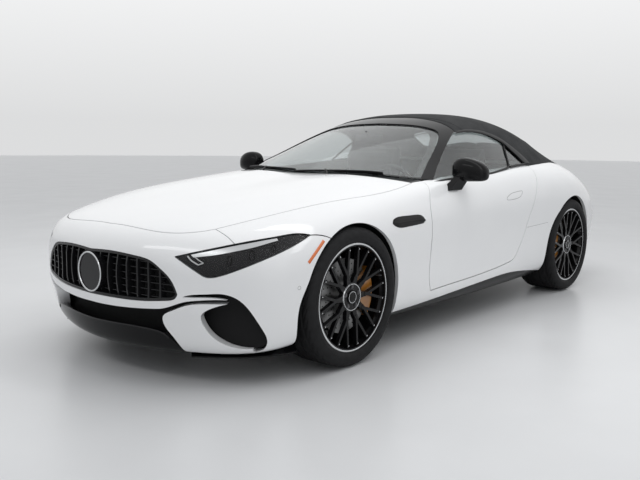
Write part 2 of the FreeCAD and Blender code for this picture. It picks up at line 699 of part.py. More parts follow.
middle_zone = fixed_skin.common(box((-1100, -694, 0), (1100, 3000, 1300))).cut(rear_space)
skirts = fixed_skin.common(skirt_cutter).cut(rear_space)
skirts = skirts.common(fused([box((700, -1060, 0), (1100, 960, 400)), box((-1100, -1060, 0), (-700, 960, 400))]))
sub_part("side_trim", large(skirts, 50000))
sides = middle_zone.cut([skirt_space, scuttle_space, box((-700, -694, 0), (700, 1600, 500))])
sub_part("body_sides", large(sides, 50000))
DIFFUSER_HIGH = 372.0
OUTLET_PLACES = (395, 495)
OUTLET_HEIGHT = 305
OUTLET_END = 2258
outlet_room = [rod((side * place, 2000, OUTLET_HEIGHT), (side * place, 2400, OUTLET_HEIGHT), 44)
               for side in SIDES for place in OUTLET_PLACES]
rear_zone = fixed_skin.common(rear_cutter)
diffuser_space = box((-640, 1500, 0), (640, 3000, DIFFUSER_HIGH))
bumper_cut = box((-641, 1499, -10), (641, 3001, DIFFUSER_HIGH + 1))
sub_part("rear_bumper", large(rear_zone.cut(bumper_cut)))
sub_part("diffuser", rear_zone.common(diffuser_space).cut(outlet_room))

# Lamps: a clear lens over a dark housing
lamp_inner = skin_solid(inset(BODY_RINGS, 4))
lens = body.common(lamp_cutter).cut(lamp_inner)
sub_part("headlamp_lenses", gathered(both_sides(lens)))
housing_space = skin_solid(inset(BODY_RINGS, 4 + SEAT))
housing = housing_space.common(lamp_cutter).cut(deep_skin)
sub_part("headlamps", gathered(both_sides(housing)))
tail = body.common(tail_cutter).cut([deep_skin, boot_space])
sub_part("tail_lamps", gathered(both_sides(tail)))


SLAT_COUNT = 15
BAR_HEIGHTS = (430, 462, 494, 526, 558, 590)
SLAT_FRONT = -2338.0
SLAT_SWEEP = 0.00024
GRILLE_MIDDLE = 506
GRILLE_HALF_WIDTH = 600


def grille_line(back):
    """The grille's plan curve, set back by so much, from one side to the other."""
    places = [share * GRILLE_HALF_WIDTH / 3 for share in range(-3, 4)]
    return [(x, SLAT_FRONT + SLAT_SWEEP * x * x + back) for x in places]


def plan_band(front, back, low, high):
    """A band that follows the nose, between two set-backs and two heights."""
    near = grille_line(front)
    far = grille_line(back)[::-1]
    return plan_prism([near, [near[-1], far[0]], far, [far[-1], near[0]]], low, high)


def slat(place):
    """An upright blade with a bowed front edge."""
    front = SLAT_FRONT + SLAT_SWEEP * place * place
    back = front + size("slat_depth")
    half = size("slat_width") / 2
    return side_prism([
        [(front + 12, 390), (front - 4, GRILLE_MIDDLE), (front + 14, 630)],
        [(front + 14, 630), (back, 630)],
        [(back, 630), (back, 390)],
        [(back, 390), (front + 12, 390)],
    ], place - half, place + half)


def grille():
    """A surround, upright slats, finer level bars and a plain round disc."""
    outer = skin_solid(inset(BODY_RINGS, 5))
    room = front_prism(GRILLE_POINTS, -3000, -2100, -2.0)
    field = front_prism(GRILLE_POINTS, -3000, -2100, -14.0)
    band = outer.common(room).common(plan_band(-60, size("slat_depth"), 300, 700)).cut(field)
    middle = (SLAT_COUNT - 1) / 2
    pieces = [slat((index - middle) * size("slat_pitch")) for index in range(SLAT_COUNT)]
    for height in BAR_HEIGHTS:
        pieces.append(plan_band(14, 30, height, height + size("bar_height")))
    clipped = outer.common(front_prism(GRILLE_POINTS, -3000, -2100, -8.0))
    inner = [piece.common(clipped) for piece in pieces]
    disc = Part.makeCylinder(size("disc_badge_radius"), 34, Vector(0, -2350, GRILLE_MIDDLE), Vector(0, 1, 0))
    return fused([band, disc] + inner)


sub_part("grille", grille())


within_skin = skin_solid(inset(BODY_RINGS, WALL + SEAT))


def radiator_shroud():
    """Dark backing behind the grille and the air intakes, which follows the nose."""
    front = [(-850, -1935), (-720, -2050), (-540, -2140), (-300, -2205), (0, -2225),
             (300, -2205), (540, -2140), (720, -2050), (850, -1935)]
    back = [(x, y + 8) for x, y in reversed(front)]
    plate = plan_prism([front, [front[-1], back[0]], back, [back[-1], front[0]]], 170, 640)
    return plate.common(within_skin).cut(both_sides(lamp_space) + both_sides(blade))


sub_part("radiator_shroud", large(radiator_shroud(), 50000))


# Wheels: each is drawn about its own axle, outer face towards +X

def wheel_place(axle, height, side):
    turn = Rotation(Vector(0, 0, 1), 0 if side > 0 else 180)
    return Placement(Vector(0, axle, height), turn)


def turned(label, points, place):
    """A ring turned about the axle. Its outline is (x, radius)."""
    item = doc.addObject("PartDesign::Body", label)
    item.Label = label
    plane = [feature for feature in item.Origin.OriginFeatures if feature.Role == "XY_Plane"][0]
    sketch = item.newObject("Sketcher::SketchObject", label + "_outline")
    sketch.AttachmentSupport = (plane, [""])
    sketch.MapMode = "FlatFace"
    for index, point in enumerate(points):
        following = points[(index + 1) % len(points)]
        sketch.addGeometry(Part.LineSegment(Vector(*point, 0), Vector(*following, 0)), False)
    feature = item.newObject("PartDesign::Revolution", label + "_turned")
    feature.Profile = sketch
    feature.ReferenceAxis = (sketch, ["H_Axis"])
    feature.Angle = 360
    item.Placement = place
    NODES.append(item)
    return item


def tyre_outline(face, width, radius):
    """Half-round shoulders over the beads, which stay clear of the rim."""
    bead = size("rim_radius") + 1.5
    rim_face = face - size("rim_setback") - 2
    rim_back = face - width + 14
    return [
        (rim_face, bead),
        (face - 4, bead + 12),
        (face, bead + 32),
        (face - 4, radius - 28),
        (face - 17, radius - 8),
        (face - 40, radius - 1),
        (face - width / 2, radius),
        (face - width + 40, radius - 1),
        (face - width + 17, radius - 8),
        (face - width + 4, radius - 28),
        (face - width, bead + 32),
        (face - width + 4, bead + 12),
        (rim_back, bead),
    ]


def rim_shape(face, width):
    """Barrel, lip, hub and forked spokes whose branches run side by side in pairs."""
    lip = size("rim_radius")
    outer_face = face - size("rim_setback")
    inner_face = face - width + 20
    wall = 11
    profile = [
        (outer_face, lip), (outer_face, lip - 16), (outer_face - 14, lip - 17),
        (outer_face - 30, lip - 26), (inner_face + 20, lip - 26), (inner_face, lip - 14),
        (inner_face, lip), (inner_face + 12, lip), (inner_face + 30, lip - 26 + wall),
        (outer_face - 40, lip - 26 + wall), (outer_face - 18, lip),
    ]
    points = [Vector(x, radius, 0) for x, radius in profile]
    barrel = Part.Face(Part.makePolygon(points + [points[0]]))
    barrel = barrel.revolve(Vector(0, 0, 0), Vector(1, 0, 0), 360)
    hub_face = outer_face - size("hub_setback") + 12
    hub_back = face - size("disc_setback") + 28 + SEAT
    hub = rod((hub_back, 0, 0), (hub_face, 0, 0), size("hub_radius"))
    shapes = [barrel, hub]
    pairs = int(size("spoke_pairs"))
    offset = size("spoke_offset")
    fork = offset / math.sin(math.pi / pairs)
    tip = lip - 24
    fork_face = hub_face + 4
    for index in range(pairs):
        angle = 360.0 * index / pairs
        for side in SIDES:
            near = Vector(fork_face, side * offset, fork * 0.8)
            branch = spoke(near, Vector(outer_face - 5, side * offset, tip), 7.5, 6.5)
            branch.rotate(Vector(0, 0, 0), Vector(1, 0, 0), angle)
            shapes.append(branch)
        stem = spoke(Vector(hub_face - 1, 0, size("hub_radius") - 14), Vector(fork_face, 0, fork), 17, 10)
        stem.rotate(Vector(0, 0, 0), Vector(1, 0, 0), angle + 180.0 / pairs)
        shapes.append(stem)
    return fused(shapes)


def spoke(near, far, near_half, far_half):
    """A tapering bar; its outer face lies through the two points, its back is wider."""
    depth = 21.0
    ends = []
    for point, half in ((near, near_half), (far, far_half)):
        corners = [
            Vector(point.x, point.y - half, point.z), Vector(point.x, point.y + half, point.z),
            Vector(point.x - depth, point.y + half * 1.3, point.z),
            Vector(point.x - depth, point.y - half * 1.3, point.z),
        ]
        ends.append(Part.makePolygon(corners + corners[:1]))
    return Part.makeLoft(ends, True, True)


def disc_shape(face):
    """Brake disc with its hat."""
    back = face - size("disc_setback") - size("disc_wall")
    front = face - size("disc_setback")
    plate = rod((back, 0, 0), (front, 0, 0), size("disc_radius"))
    hat = rod((front - 1, 0, 0), (front + 28, 0, 0), size("hub_radius") + 2)
    hollow = rod((back - 1, 0, 0), (back + 12, 0, 0), 90)
    return plate.fuse(hat).removeSplitter().cut(hollow)


AXLES = {
    "front": (FRONT_AXLE, front_height, size("front_tyre_face"), size("front_tyre_width")),
    "rear": (REAR_AXLE, rear_height, size("rear_tyre_face"), size("rear_tyre_width")),
}
CORNERS = {"fl": ("front", 1), "fr": ("front", -1), "rl": ("rear", 1), "rr": ("rear", -1)}

for corner, (axle_name, side) in CORNERS.items():
    axle, height, face, width = AXLES[axle_name]
    place = wheel_place(axle, height, side)
    turned("tyre_" + corner, tyre_outline(face, width, height), place)
    sub_part("rim_" + corner, rim_shape(face, width), place)
    sub_part("brake_disc_" + corner, disc_shape(face), place)


def caliper_shape(face, middle_angle):
    """A curved block that straddles the disc, drawn about the axle."""
    back = face - size("disc_setback") - size("disc_wall")
    front = face - size("disc_setback")
    inner = 118.0
    outer = 224.0
    points = [Vector(back - 26, inner, 0), Vector(front + 24, inner, 0), Vector(front + 24, outer - 16, 0),
              Vector(front + 10, outer, 0), Vector(back - 12, outer, 0), Vector(back - 26, outer - 14, 0)]
    span = 74.0
    face_wire = Part.Face(Part.makePolygon(points + [points[0]]))
    block = face_wire.revolve(Vector(0, 0, 0), Vector(1, 0, 0), span)
    block.rotate(Vector(0, 0, 0), Vector(1, 0, 0), middle_angle - span / 2)
    room = rod((back - 4, 0, 0), (front + 4, 0, 0), size("disc_radius") + 5)
    return block.cut(room)


# Front calipers sit behind the axle, rear calipers ahead of it. Angle 0 is towards +Y.
for corner in ("fl", "fr"):
    axle_name, side = CORNERS[corner]
    axle, height, face, width = AXLES[axle_name]
    shape = caliper_shape(face, 0.0)
    if side < 0:
        shape = mirrored(shape)
    sub_part("caliper_" + corner, shape, Placement(Vector(0, axle, height), Rotation()))
rear_face = size("rear_tyre_face")
rear_caliper = caliper_shape(rear_face, 180.0)
rear_caliper.translate(Vector(0, REAR_AXLE, rear_height))
sub_part("rear_calipers", gathered(both_sides(rear_caliper)))


def carrier(face, axle, height, caliper_ahead):
    """Hub carrier with its ball joint arms and the caliper's bracket."""
    back = face - size("disc_setback") - size("disc_wall")
    king = size("kingpin_track")
    hub = rod((king - 45, axle, height), (back + 12 - SEAT, axle, height), 52)
    eye = size("ball_radius")
    lower = rod((king, axle, size("lower_joint_height")), (king, axle, height), eye + 2)
    upper = rod((king, axle, height), (king, axle, size("upper_joint_height")), eye)
    reach = 140 * caliper_ahead
    bracket = box((back - 52, min(axle, axle + reach), height - 40), (back - 27, max(axle, axle + reach), height + 40))
    return fused([hub, lower, upper, bracket])


front_carrier = carrier(size("front_tyre_face"), FRONT_AXLE, front_height, 1)
sub_part("knuckle_fl", front_carrier)
sub_part("knuckle_fr", mirrored(front_carrier))


def suspension():
    """Subframes, wishbones, struts and the rear hub carriers of both axles."""
    king = size("kingpin_track")
    pieces = []
    for axle, height, rear in ((FRONT_AXLE, front_height, False), (REAR_AXLE, rear_height, True)):
        low = size("lower_joint_height")
        high = size("upper_joint_height")
        inner = 400.0
        spread = size("rear_arm_spread") if rear else size("front_arm_spread")
        eye = size("ball_radius")
        for side in SIDES:
            for reach in (-spread, spread):
                pieces.append(rod((side * inner, axle + reach, low), (side * king, axle, low - 16), 13))
                pieces.append(rod((side * (inner + 40), axle + reach * 0.7, high + 30),
                                  (side * king, axle, high + 14), 11))
            pieces.append(rod((side * king, axle, low - 32), (side * king, axle, low - SEAT), eye + 4))
            pieces.append(rod((side * king, axle, high + SEAT), (side * king, axle, high + 28), eye + 2))
        for reach in (-spread, spread):
            pieces.append(rod((-inner - 20, axle + reach, low), (inner + 20, axle + reach, low), 24))
        for side in SIDES:
            pieces.append(rod((side * 600, axle, low), (side * 430, axle, high + 50), 26))
            pieces.append(box((min(side * 395, side * 455), axle - 200, low - 20),
                              (max(side * 395, side * 455), axle + 200, high + 60)))
            if rear:
                shape = carrier(size("rear_tyre_face"), axle, height, -1)
                pieces.append(shape if side > 0 else mirrored(shape))
    return fused(pieces)


sub_part("suspension", gathered([suspension()]))

# Floor, bulkheads and wheel liners
FLOOR = size("floor_height")
HALF_CABIN = size("cabin_half_width")
TUNNEL = size("tunnel_half_width")


JACK_STATIONS = (-560, 800)
LINER_REACH = size("liner_clearance") + size("sheet_wall")


def floor_tub():
    """Floor, tunnel, sills and bulkheads, inside the skin, with the jacking pads."""
    wall = size("floor_wall")
    cabin_rear = size("cabin_rear")
    wide = HALF_CABIN - 14
    pieces = [
        box((-760, FIREWALL, FLOOR), (760, cabin_rear, FLOOR + wall)),
        box((-HALF_CABIN + 4, FIREWALL - wall, FLOOR), (HALF_CABIN - 4, FIREWALL, 830)),
        box((-TUNNEL, FIREWALL, FLOOR), (TUNNEL, cabin_rear, 350)),
        box((-wide, cabin_rear - wall, FLOOR), (wide, cabin_rear, 800)),
        box((-wide, 560, FLOOR), (wide, 578, 420)),
        box((-wide, 560, 402), (wide, cabin_rear, 420)),
    ]
    sill = box((745, FIREWALL, FLOOR), (850, cabin_rear, 262)).cut(wheel_room(*REAR_WELL, LINER_REACH + SEAT))
    pieces += both_sides(sill)
    tub = fused(pieces).common(within_skin)
    pads = []
    for place in JACK_STATIONS:
        pads += both_sides(box((625, place - 40, size("jack_pad_height")), (685, place + 40, FLOOR)))
    return fused([tub] + pads)


def boot_tub():
    """The luggage well: floor and walls, wider behind the wheels."""
    wall = size("floor_wall")
    front = size("cabin_rear")
    pieces = [
        box((-385, front, 400), (385, 2120, 418)),
        box((-600, 1700, 400), (600, 2120, 418)),
        box((-600, 2105, 400), (600, 2120, 620)),
    ]
    side = [
        box((370, front, 400), (385, 1700 + wall, 760)),
        box((385, 1700, 400), (600, 1700 + wall, 760)),
        box((585, 1700, 400), (600, 2120, 700)),
    ]
    for piece in side:
        pieces += both_sides(piece)
    return fused(pieces).common(within_skin)


def liner(well):
    """The shell of a wheel's well, cut open for the axle and the suspension arms."""
    axle, height = well[:2]
    shell = wheel_room(*well, LINER_REACH).cut(wheel_room(*well, size("liner_clearance")))
    low = box((0, axle - 700, -400), (1100, axle + 700, 235))
    deep = size("well_depth")
    window = box((deep - 30, axle - 230, 0), (deep + 10, axle + 230, height + 280))
    return shell.cut([low, window]).common(within_skin)


sub_part("floor_tub", floor_tub())
sub_part("boot_tub", boot_tub())
rail = box((320, -2200, 300), (380, FIREWALL - size("floor_wall"), 380)).common(within_skin)
rail = max(rail.cut(doc.getObject("radiator_shroud").Shape).Solids, key=lambda solid: solid.Volume)
sub_part("front_rails", gathered(both_sides(rail)))
sub_part("wheel_liners", large(Part.Compound(both_sides(liner(FRONT_WELL)) + both_sides(liner(REAR_WELL)))))

# One plain block stands for the engine
sub_part("engine", box((-300, -1850, 260), (300, -1010, 760)))

# Cabin


def dashboard():
    outline = [
        [(-770, 850), (-700, 898), (-560, 926), (-470, 915), (-420, 870), (-400, 800)],
        [(-400, 800), (-440, 720), (-520, 660)],
        [(-520, 660), (-770, 640)],
    ]
    panel = side_prism(outline, -HALF_CABIN + 12, HALF_CABIN - 12)
    console = side_prism([
        [(-500, 660), (-420, 640), (-200, 560), (200, 540), (380, 560)],
        [(380, 560), (380, 350 + SEAT)], [(380, 350 + SEAT), (-860, 350 + SEAT)], [(-860, 350 + SEAT), (-860, 640)],
        [(-860, 640), (-500, 660)],
    ], SEAT * 10 - TUNNEL, TUNNEL - SEAT * 10)
    return fused([panel, console])



def seat(place):
    """A front seat: cushion, back and head restraint, on a low base."""
    half = size("seat_width") / 2
    floor = FLOOR + size("floor_wall")
    cushion = [
        [(-190, 330), (-200, 400), (-150, 450), (0, 440), (250, 425), (330, 420)],
        [(330, 420), (330, 300)], [(330, 300), (-190, 330)],
    ]
    back = [
        [(240, 430), (300, 620), (370, 900), (400, 960)],
        [(400, 960), (420, 1080), (480, 1110), (500, 1080)],
        [(500, 1080), (520, 900), (450, 620), (380, 380)], [(380, 380), (240, 430)],
    ]
    cushion_solid = side_prism(cushion, place - half, place + half)
    back_solid = side_prism(back, place - half + 15, place + half - 15)
    base = box((place - 180, -120, floor + SEAT), (place + 180, 300, 330))
    return fused([cushion_solid, back_solid, base])


def rear_seats():
    low = 420 + SEAT
    pieces = []
    for side in SIDES:
        first, second = sorted((side * 180, side * 640))
        pieces.append(box((first, 600, low), (second, 850, 500)))
        pieces.append(box((first, 800, 500), (second, 862, 830)))
    return fused(pieces)


sub_part("seats", gathered([seat(size("seat_place")), seat(-size("seat_place")), rear_seats()]))


def steering_wheel():
    """Rim, spokes and hub, square to the column."""
    ring_radius = size("wheel_ring_radius")
    rim = Part.makeTorus(ring_radius, size("wheel_ring_tube"))
    hub = Part.makeCylinder(62, 36, Vector(0, 0, -26))
    shapes = [rim, hub]
    for angle in (0, 180, 270):
        spoke = box((40, -16, -8), (ring_radius, 16, 6))
        spoke.rotate(Vector(0, 0, 0), Vector(0, 0, 1), angle)
        shapes.append(spoke)
    column = Part.makeCylinder(24, 170, Vector(0, 0, -195))
    return fused(shapes + [column])


STEERING_TILT = 68.0
steer_place = Placement(Vector(size("seat_place"), -285, 820), Rotation(Vector(1, 0, 0), -STEERING_TILT))
sub_part("steering_wheel", steering_wheel(), steer_place)
shroud = Part.makeCylinder(46, 110, Vector(0, 0, -190))
shroud.Placement = steer_place
column_room = Part.makeCylinder(24 + SEAT, 200, Vector(0, 0, -200))
column_room.Placement = steer_place
sub_part("dashboard", fused([dashboard(), shroud]).cut(column_room))


# The mirror shell's sections along the car's width: place, middle y and z, half depth and half height
MIRROR_SECTIONS = [
    (846, -340, 978, 26, 30), (862, -342, 984, 48, 55), (905, -345, 987, 60, 70), (955, -345, 985, 62, 70),
    (1005, -338, 978, 56, 61), (1043, -326, 968, 42, 46), (1060, -318, 962, 20, 24),
]


def rounded_section(place, y, z, half_y, half_z):
    """A closed curve between an ellipse and a rectangle, square to X."""
    points = []
    for step in range(12):
        angle = math.tau * step / 12
        across = math.copysign(abs(math.cos(angle)) ** 0.75, math.cos(angle))
        upward = math.copysign(abs(math.sin(angle)) ** 0.75, math.sin(angle))
        points.append(Vector(place, y + half_y * across, z + half_z * upward))
    curve = Part.BSplineCurve()
    curve.interpolate(Points=points, PeriodicFlag=True)
    return Part.Wire([curve.toShape()])


def mirror_shape():
    """Door mirror: a shell that tapers outwards, on a broad foot."""
    shell = Part.makeLoft([rounded_section(*row) for row in MIRROR_SECTIONS], True, False)
    foot_low = Part.makePolygon([Vector(x, y, 862) for x, y in
                                 ((835, -470), (890, -470), (905, -350), (850, -350), (835, -470))])
    foot_high = Part.makePolygon([Vector(x, y, 945) for x, y in
                                  ((880, -395), (925, -395), (935, -300), (890, -300), (880, -395))])
    foot = Part.makeLoft([foot_low, foot_high], True, True)
    return fused([shell, foot])


left_mirror = mirror_shape().cut([left_door, left_glass])
sub_part("mirror_left", max(left_mirror.Solids, key=lambda solid: solid.Volume))
sub_part("mirror_right", mirrored(doc.getObject("mirror_left").Shape))


def exhaust():
    """Two pairs of outlets and the rear silencer."""
    pieces = []
    for side in SIDES:
        for place in OUTLET_PLACES:
            pipe = rod((side * place, 2050, OUTLET_HEIGHT), (side * place, OUTLET_END, OUTLET_HEIGHT), 42)
            bore = rod((side * place, 2150, OUTLET_HEIGHT), (side * place, OUTLET_END + 5, OUTLET_HEIGHT), 37)
            pieces.append(pipe.cut(bore))
    pieces.append(box((-510, 1960, 272), (510, 2095, 372)))
    return fused(pieces)


sub_part("exhaust", exhaust())

doc.recompute()

# Nothing is written until every object is sound
for item in doc.Objects:
    if "Invalid" in item.State or "Error" in item.State:
        raise RuntimeError(item.Name + " did not compute")
for item in NODES:
    if item.Shape.isNull() or not item.Shape.isValid():
        raise RuntimeError(item.Label + " has no sound shape")

os.makedirs("parts", exist_ok=True)
for item in NODES:
    item.Shape.exportStep("parts/" + item.Label + ".step")
    print(item.Label, len(item.Shape.Solids), round(item.Shape.Volume / 1e6, 2))
print(len(NODES), "nodes")
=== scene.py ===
import json
import math

import bmesh
import bpy
import numpy as np
from mathutils import Matrix, Vector
from mathutils.kdtree import KDTree


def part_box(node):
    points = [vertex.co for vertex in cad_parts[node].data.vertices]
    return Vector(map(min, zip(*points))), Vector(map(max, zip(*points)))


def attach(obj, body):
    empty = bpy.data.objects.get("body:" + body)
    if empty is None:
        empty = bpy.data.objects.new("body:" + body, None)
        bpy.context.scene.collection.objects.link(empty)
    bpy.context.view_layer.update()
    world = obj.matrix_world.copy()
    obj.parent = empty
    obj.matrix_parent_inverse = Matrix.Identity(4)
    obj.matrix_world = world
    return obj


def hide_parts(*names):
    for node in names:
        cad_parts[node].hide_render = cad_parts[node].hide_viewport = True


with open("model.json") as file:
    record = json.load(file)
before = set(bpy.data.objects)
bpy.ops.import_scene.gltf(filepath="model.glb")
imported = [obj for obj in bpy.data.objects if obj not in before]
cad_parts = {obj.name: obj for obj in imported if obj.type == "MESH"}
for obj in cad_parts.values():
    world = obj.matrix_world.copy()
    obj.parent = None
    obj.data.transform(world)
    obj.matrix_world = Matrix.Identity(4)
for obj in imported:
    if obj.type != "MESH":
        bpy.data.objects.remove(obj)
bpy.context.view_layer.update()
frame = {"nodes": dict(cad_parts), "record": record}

NODES = frame["nodes"]
BODY_OF = {node: body for body, nodes in frame["record"]["behaviour"]["bodies"].items() for node in nodes}
SLOT_OF = {row["node"]: row["material_slot"] for row in frame["record"]["subparts"]}
SIDES = (1, -1)


# Camera, floor and light

PHOTO_WIDTH = 640
CAMERA_PLACE = (3.2176, -4.3417, 1.1721)
CAMERA_YAW = math.radians(40.828)
CAMERA_PITCH = math.radians(-7.875)
CAMERA_ROLL = math.radians(0.565)
FOCAL_PIXELS = 743.845
SENSOR_WIDTH = 36.0
FLOOR_RADIUS = 40
HORIZON_COLOR = (0.72, 0.725, 0.73, 1)
HORIZON_HEIGHT = 0.02
SKY_COLOR = (0.93, 0.935, 0.94, 1)
SKY_HEIGHT = 0.22
AIR_COLOR = (0.95, 0.97, 1.0, 1)
AIR_STRENGTH = 0.58


def make_camera():
    """The camera stands where the photograph was taken from."""
    data = bpy.data.cameras.new("camera")
    data.sensor_width = SENSOR_WIDTH
    data.lens = FOCAL_PIXELS / PHOTO_WIDTH * SENSOR_WIDTH
    camera = bpy.data.objects.new("camera", data)
    turn = Matrix.Rotation(CAMERA_YAW, 4, "Z") @ Matrix.Rotation(math.pi / 2 + CAMERA_PITCH, 4, "X")
    turn = turn @ Matrix.Rotation(CAMERA_ROLL, 4, "Z")
    camera.matrix_world = Matrix.Translation(CAMERA_PLACE) @ turn
    bpy.context.scene.collection.objects.link(camera)
    bpy.context.scene.camera = camera


def make_light(name, place, size, power, target=(0, 0, 0.6)):
    """A soft rectangular lamp that looks at the target."""
    data = bpy.data.lights.new(name, "AREA")
    data.shape = "RECTANGLE"
    data.size, data.size_y = size
    data.energy = power
    lamp = bpy.data.objects.new(name, data)
    aim = Vector(target) - Vector(place)
    lamp.matrix_world = Matrix.Translation(place) @ aim.to_track_quat("-Z", "Y").to_matrix().to_4x4()
    lamp.visible_camera = False
    bpy.context.scene.collection.objects.link(lamp)
    return lamp


def make_world():
    """Pale studio air: the backdrop that is seen is a little lighter than the light it gives."""
    world = bpy.data.worlds.new("studio")
    bpy.context.scene.world = world
    world.use_nodes = True
    tree = world.node_tree
    tree.nodes.clear()
    output, seen, given, mix, path, place, split, ramp, first, second = [
        tree.nodes.new("ShaderNode" + kind)
        for kind in ("OutputWorld", "Background", "Background", "MixShader", "LightPath", "TexCoord",
                     "SeparateXYZ", "ValToRGB", "Math", "Math")]
    low, high = ramp.color_ramp.elements
    low.position, low.color = HORIZON_HEIGHT, HORIZON_COLOR
    high.position, high.color = SKY_HEIGHT, SKY_COLOR
    given.inputs["Color"].default_value = AIR_COLOR
    given.inputs["Strength"].default_value = AIR_STRENGTH
    first.operation = second.operation = "MAXIMUM"
    for source, target in ((place.outputs["Generated"], split.inputs[0]),
                           (split.outputs["Z"], ramp.inputs[0]),
                           (ramp.outputs[0], seen.inputs["Color"]),
                           (path.outputs["Is Camera Ray"], first.inputs[0]),
                           (path.outputs["Is Glossy Ray"], first.inputs[1]),
                           (first.outputs[0], second.inputs[0]),
                           (path.outputs["Is Transmission Ray"], second.inputs[1]),
                           (second.outputs[0], mix.inputs[0]),
                           (given.outputs[0], mix.inputs[1]),
                           (seen.outputs[0], mix.inputs[2]),
                           (mix.outputs[0], output.inputs["Surface"])):
        tree.links.new(source, target)


# Materials

class Shader:
    """A Principled material and short ways to wire its nodes."""

    def __init__(self, name, color, roughness, **sockets):
        self.material = bpy.data.materials.new(name)
        self.material.use_nodes = True
        self.tree = self.material.node_tree
        self.main = self.tree.nodes["Principled BSDF"]
        self.main.inputs["Base Color"].default_value = (*color, 1)
        self.main.inputs["Roughness"].default_value = roughness
        for socket, value in sockets.items():
            self.main.inputs[socket.replace("_", " ")].default_value = value
        self.place = self.tree.nodes.new("ShaderNodeTexCoord").outputs["Object"]

    def link(self, source, target):
        self.tree.links.new(source, target)

    def node(self, kind, source, socket, **values):
        """A new node with its values set, and one of its sockets fed by a source."""
        node = self.tree.nodes.new("ShaderNode" + kind)
        for name, value in values.items():
            node.inputs[name.replace("_", " ")].default_value = value
        self.link(source, node.inputs[socket])
        return node

    def noise(self, scale, detail=2.0, stretch=(1, 1, 1)):
        """Noise over the object, with scale in cells a metre."""
        mapping = self.node("Mapping", self.place, "Vector", Scale=stretch)
        return self.node("TexNoise", mapping.outputs[0], "Vector", Scale=scale, Detail=detail).outputs[0]

    def bands(self, scale, direction, distortion=0.0):
        """Parallel waves, with scale in waves a metre."""
        node = self.node("TexWave", self.place, "Vector", Scale=scale * math.pi / 10, Distortion=distortion)
        node.bands_direction = direction
        return node.outputs[1]

    def cells(self, scale):
        """Rounded cells, with scale in cells a metre."""
        return self.node("TexVoronoi", self.place, "Vector", Scale=scale).outputs["Distance"]

    def mixed(self, kind, first, second):
        """A sum or product of two sockets, or of a socket and a number."""
        node = self.tree.nodes.new("ShaderNodeMath")
        node.operation = kind
        for socket, value in zip(node.inputs, (first, second)):
            if isinstance(value, (int, float)):
                socket.default_value = value
            else:
                self.link(value, socket)
        return node.outputs[0]

    def shade(self, factor, low, high):
        """A colour between two, by a factor."""
        node = self.node("ValToRGB", factor, 0)
        for stop, position, color in zip(node.color_ramp.elements, (0.3, 0.7), (low, high)):
            stop.position = position
            stop.color = (*color, 1)
        self.link(node.outputs[0], self.main.inputs["Base Color"])

    def dull(self, factor, low, high):
        """Roughness between two values, by a factor."""
        node = self.node("MapRange", factor, "Value", To_Min=low, To_Max=high)
        self.link(node.outputs[0], self.main.inputs["Roughness"])

    def bump(self, height, strength, distance):
        node = self.node("Bump", height, "Height", Strength=strength, Distance=distance)
        self.link(node.outputs[0], self.main.inputs["Normal"])


def finish(name, color, roughness, shades=None, gloss=None, grain=None, pores=None, stretch=(1, 1, 1),
           **sockets):
    """A finish that is a little uneven.

    shades and gloss are (cells a metre, detail, low, high); grain and pores are (cells a metre,
    strength, depth).
    """
    shader = Shader(name, color, roughness, **sockets)
    for values, apply in ((shades, shader.shade), (gloss, shader.dull)):
        if values:
            apply(shader.noise(*values[:2]), *values[2:])
    if grain:
        shader.bump(shader.noise(grain[0], 2.0, stretch), *grain[1:])
    if pores:
        shader.bump(shader.cells(pores[0]), *pores[1:])
    return shader.material


def plain(name, color, roughness, **sockets):
    return finish(name, color, roughness, gloss=(45, 3, roughness * 0.85, roughness * 1.2),
                  grain=(300, 0.03, 0.0003), **sockets)


def metal(name, color, roughness, brushed=None):
    grain = (180, 0.12, 0.0003) if brushed else (420, 0.04, 0.0003)
    return finish(name, color, roughness, gloss=(35, 4, roughness * 0.8, roughness * 1.3), grain=grain,
                  stretch=brushed or (1, 1, 1), Metallic=1)


def leather(name, low, high):
    return finish(name, low, 0.45, shades=(14, 4, low, high), gloss=(50, 4, 0.4, 0.56),
                  pores=(420, 0.25, 0.0005))


def roof_fabric():
    """Close-woven dark canvas with a twill and slightly faded patches."""
    shader = Shader("roof_fabric", (0.03, 0.031, 0.032), 0.95, Specular_IOR_Level=0.25)
    weave = shader.mixed("MULTIPLY", shader.bands(620, "X", 0.3), shader.bands(620, "Y", 0.3))
    shader.shade(shader.mixed("ADD", shader.noise(9, 5), shader.mixed("MULTIPLY", weave, 0.25)),
                 (0.022, 0.023, 0.024), (0.040, 0.041, 0.042))
    shader.bump(weave, 0.5, 0.0005)
    return shader.material


def tail_red():
    """Red lamp glass with fine level ribs."""
    shader = Shader("tail_red", (0.30, 0.006, 0.008), 0.15, Coat_Weight=1, Coat_Roughness=0.02)
    shader.shade(shader.bands(90, "Z"), (0.22, 0.004, 0.006), (0.36, 0.009, 0.012))
    shader.bump(shader.bands(180, "Z"), 0.1, 0.0005)
    return shader.material


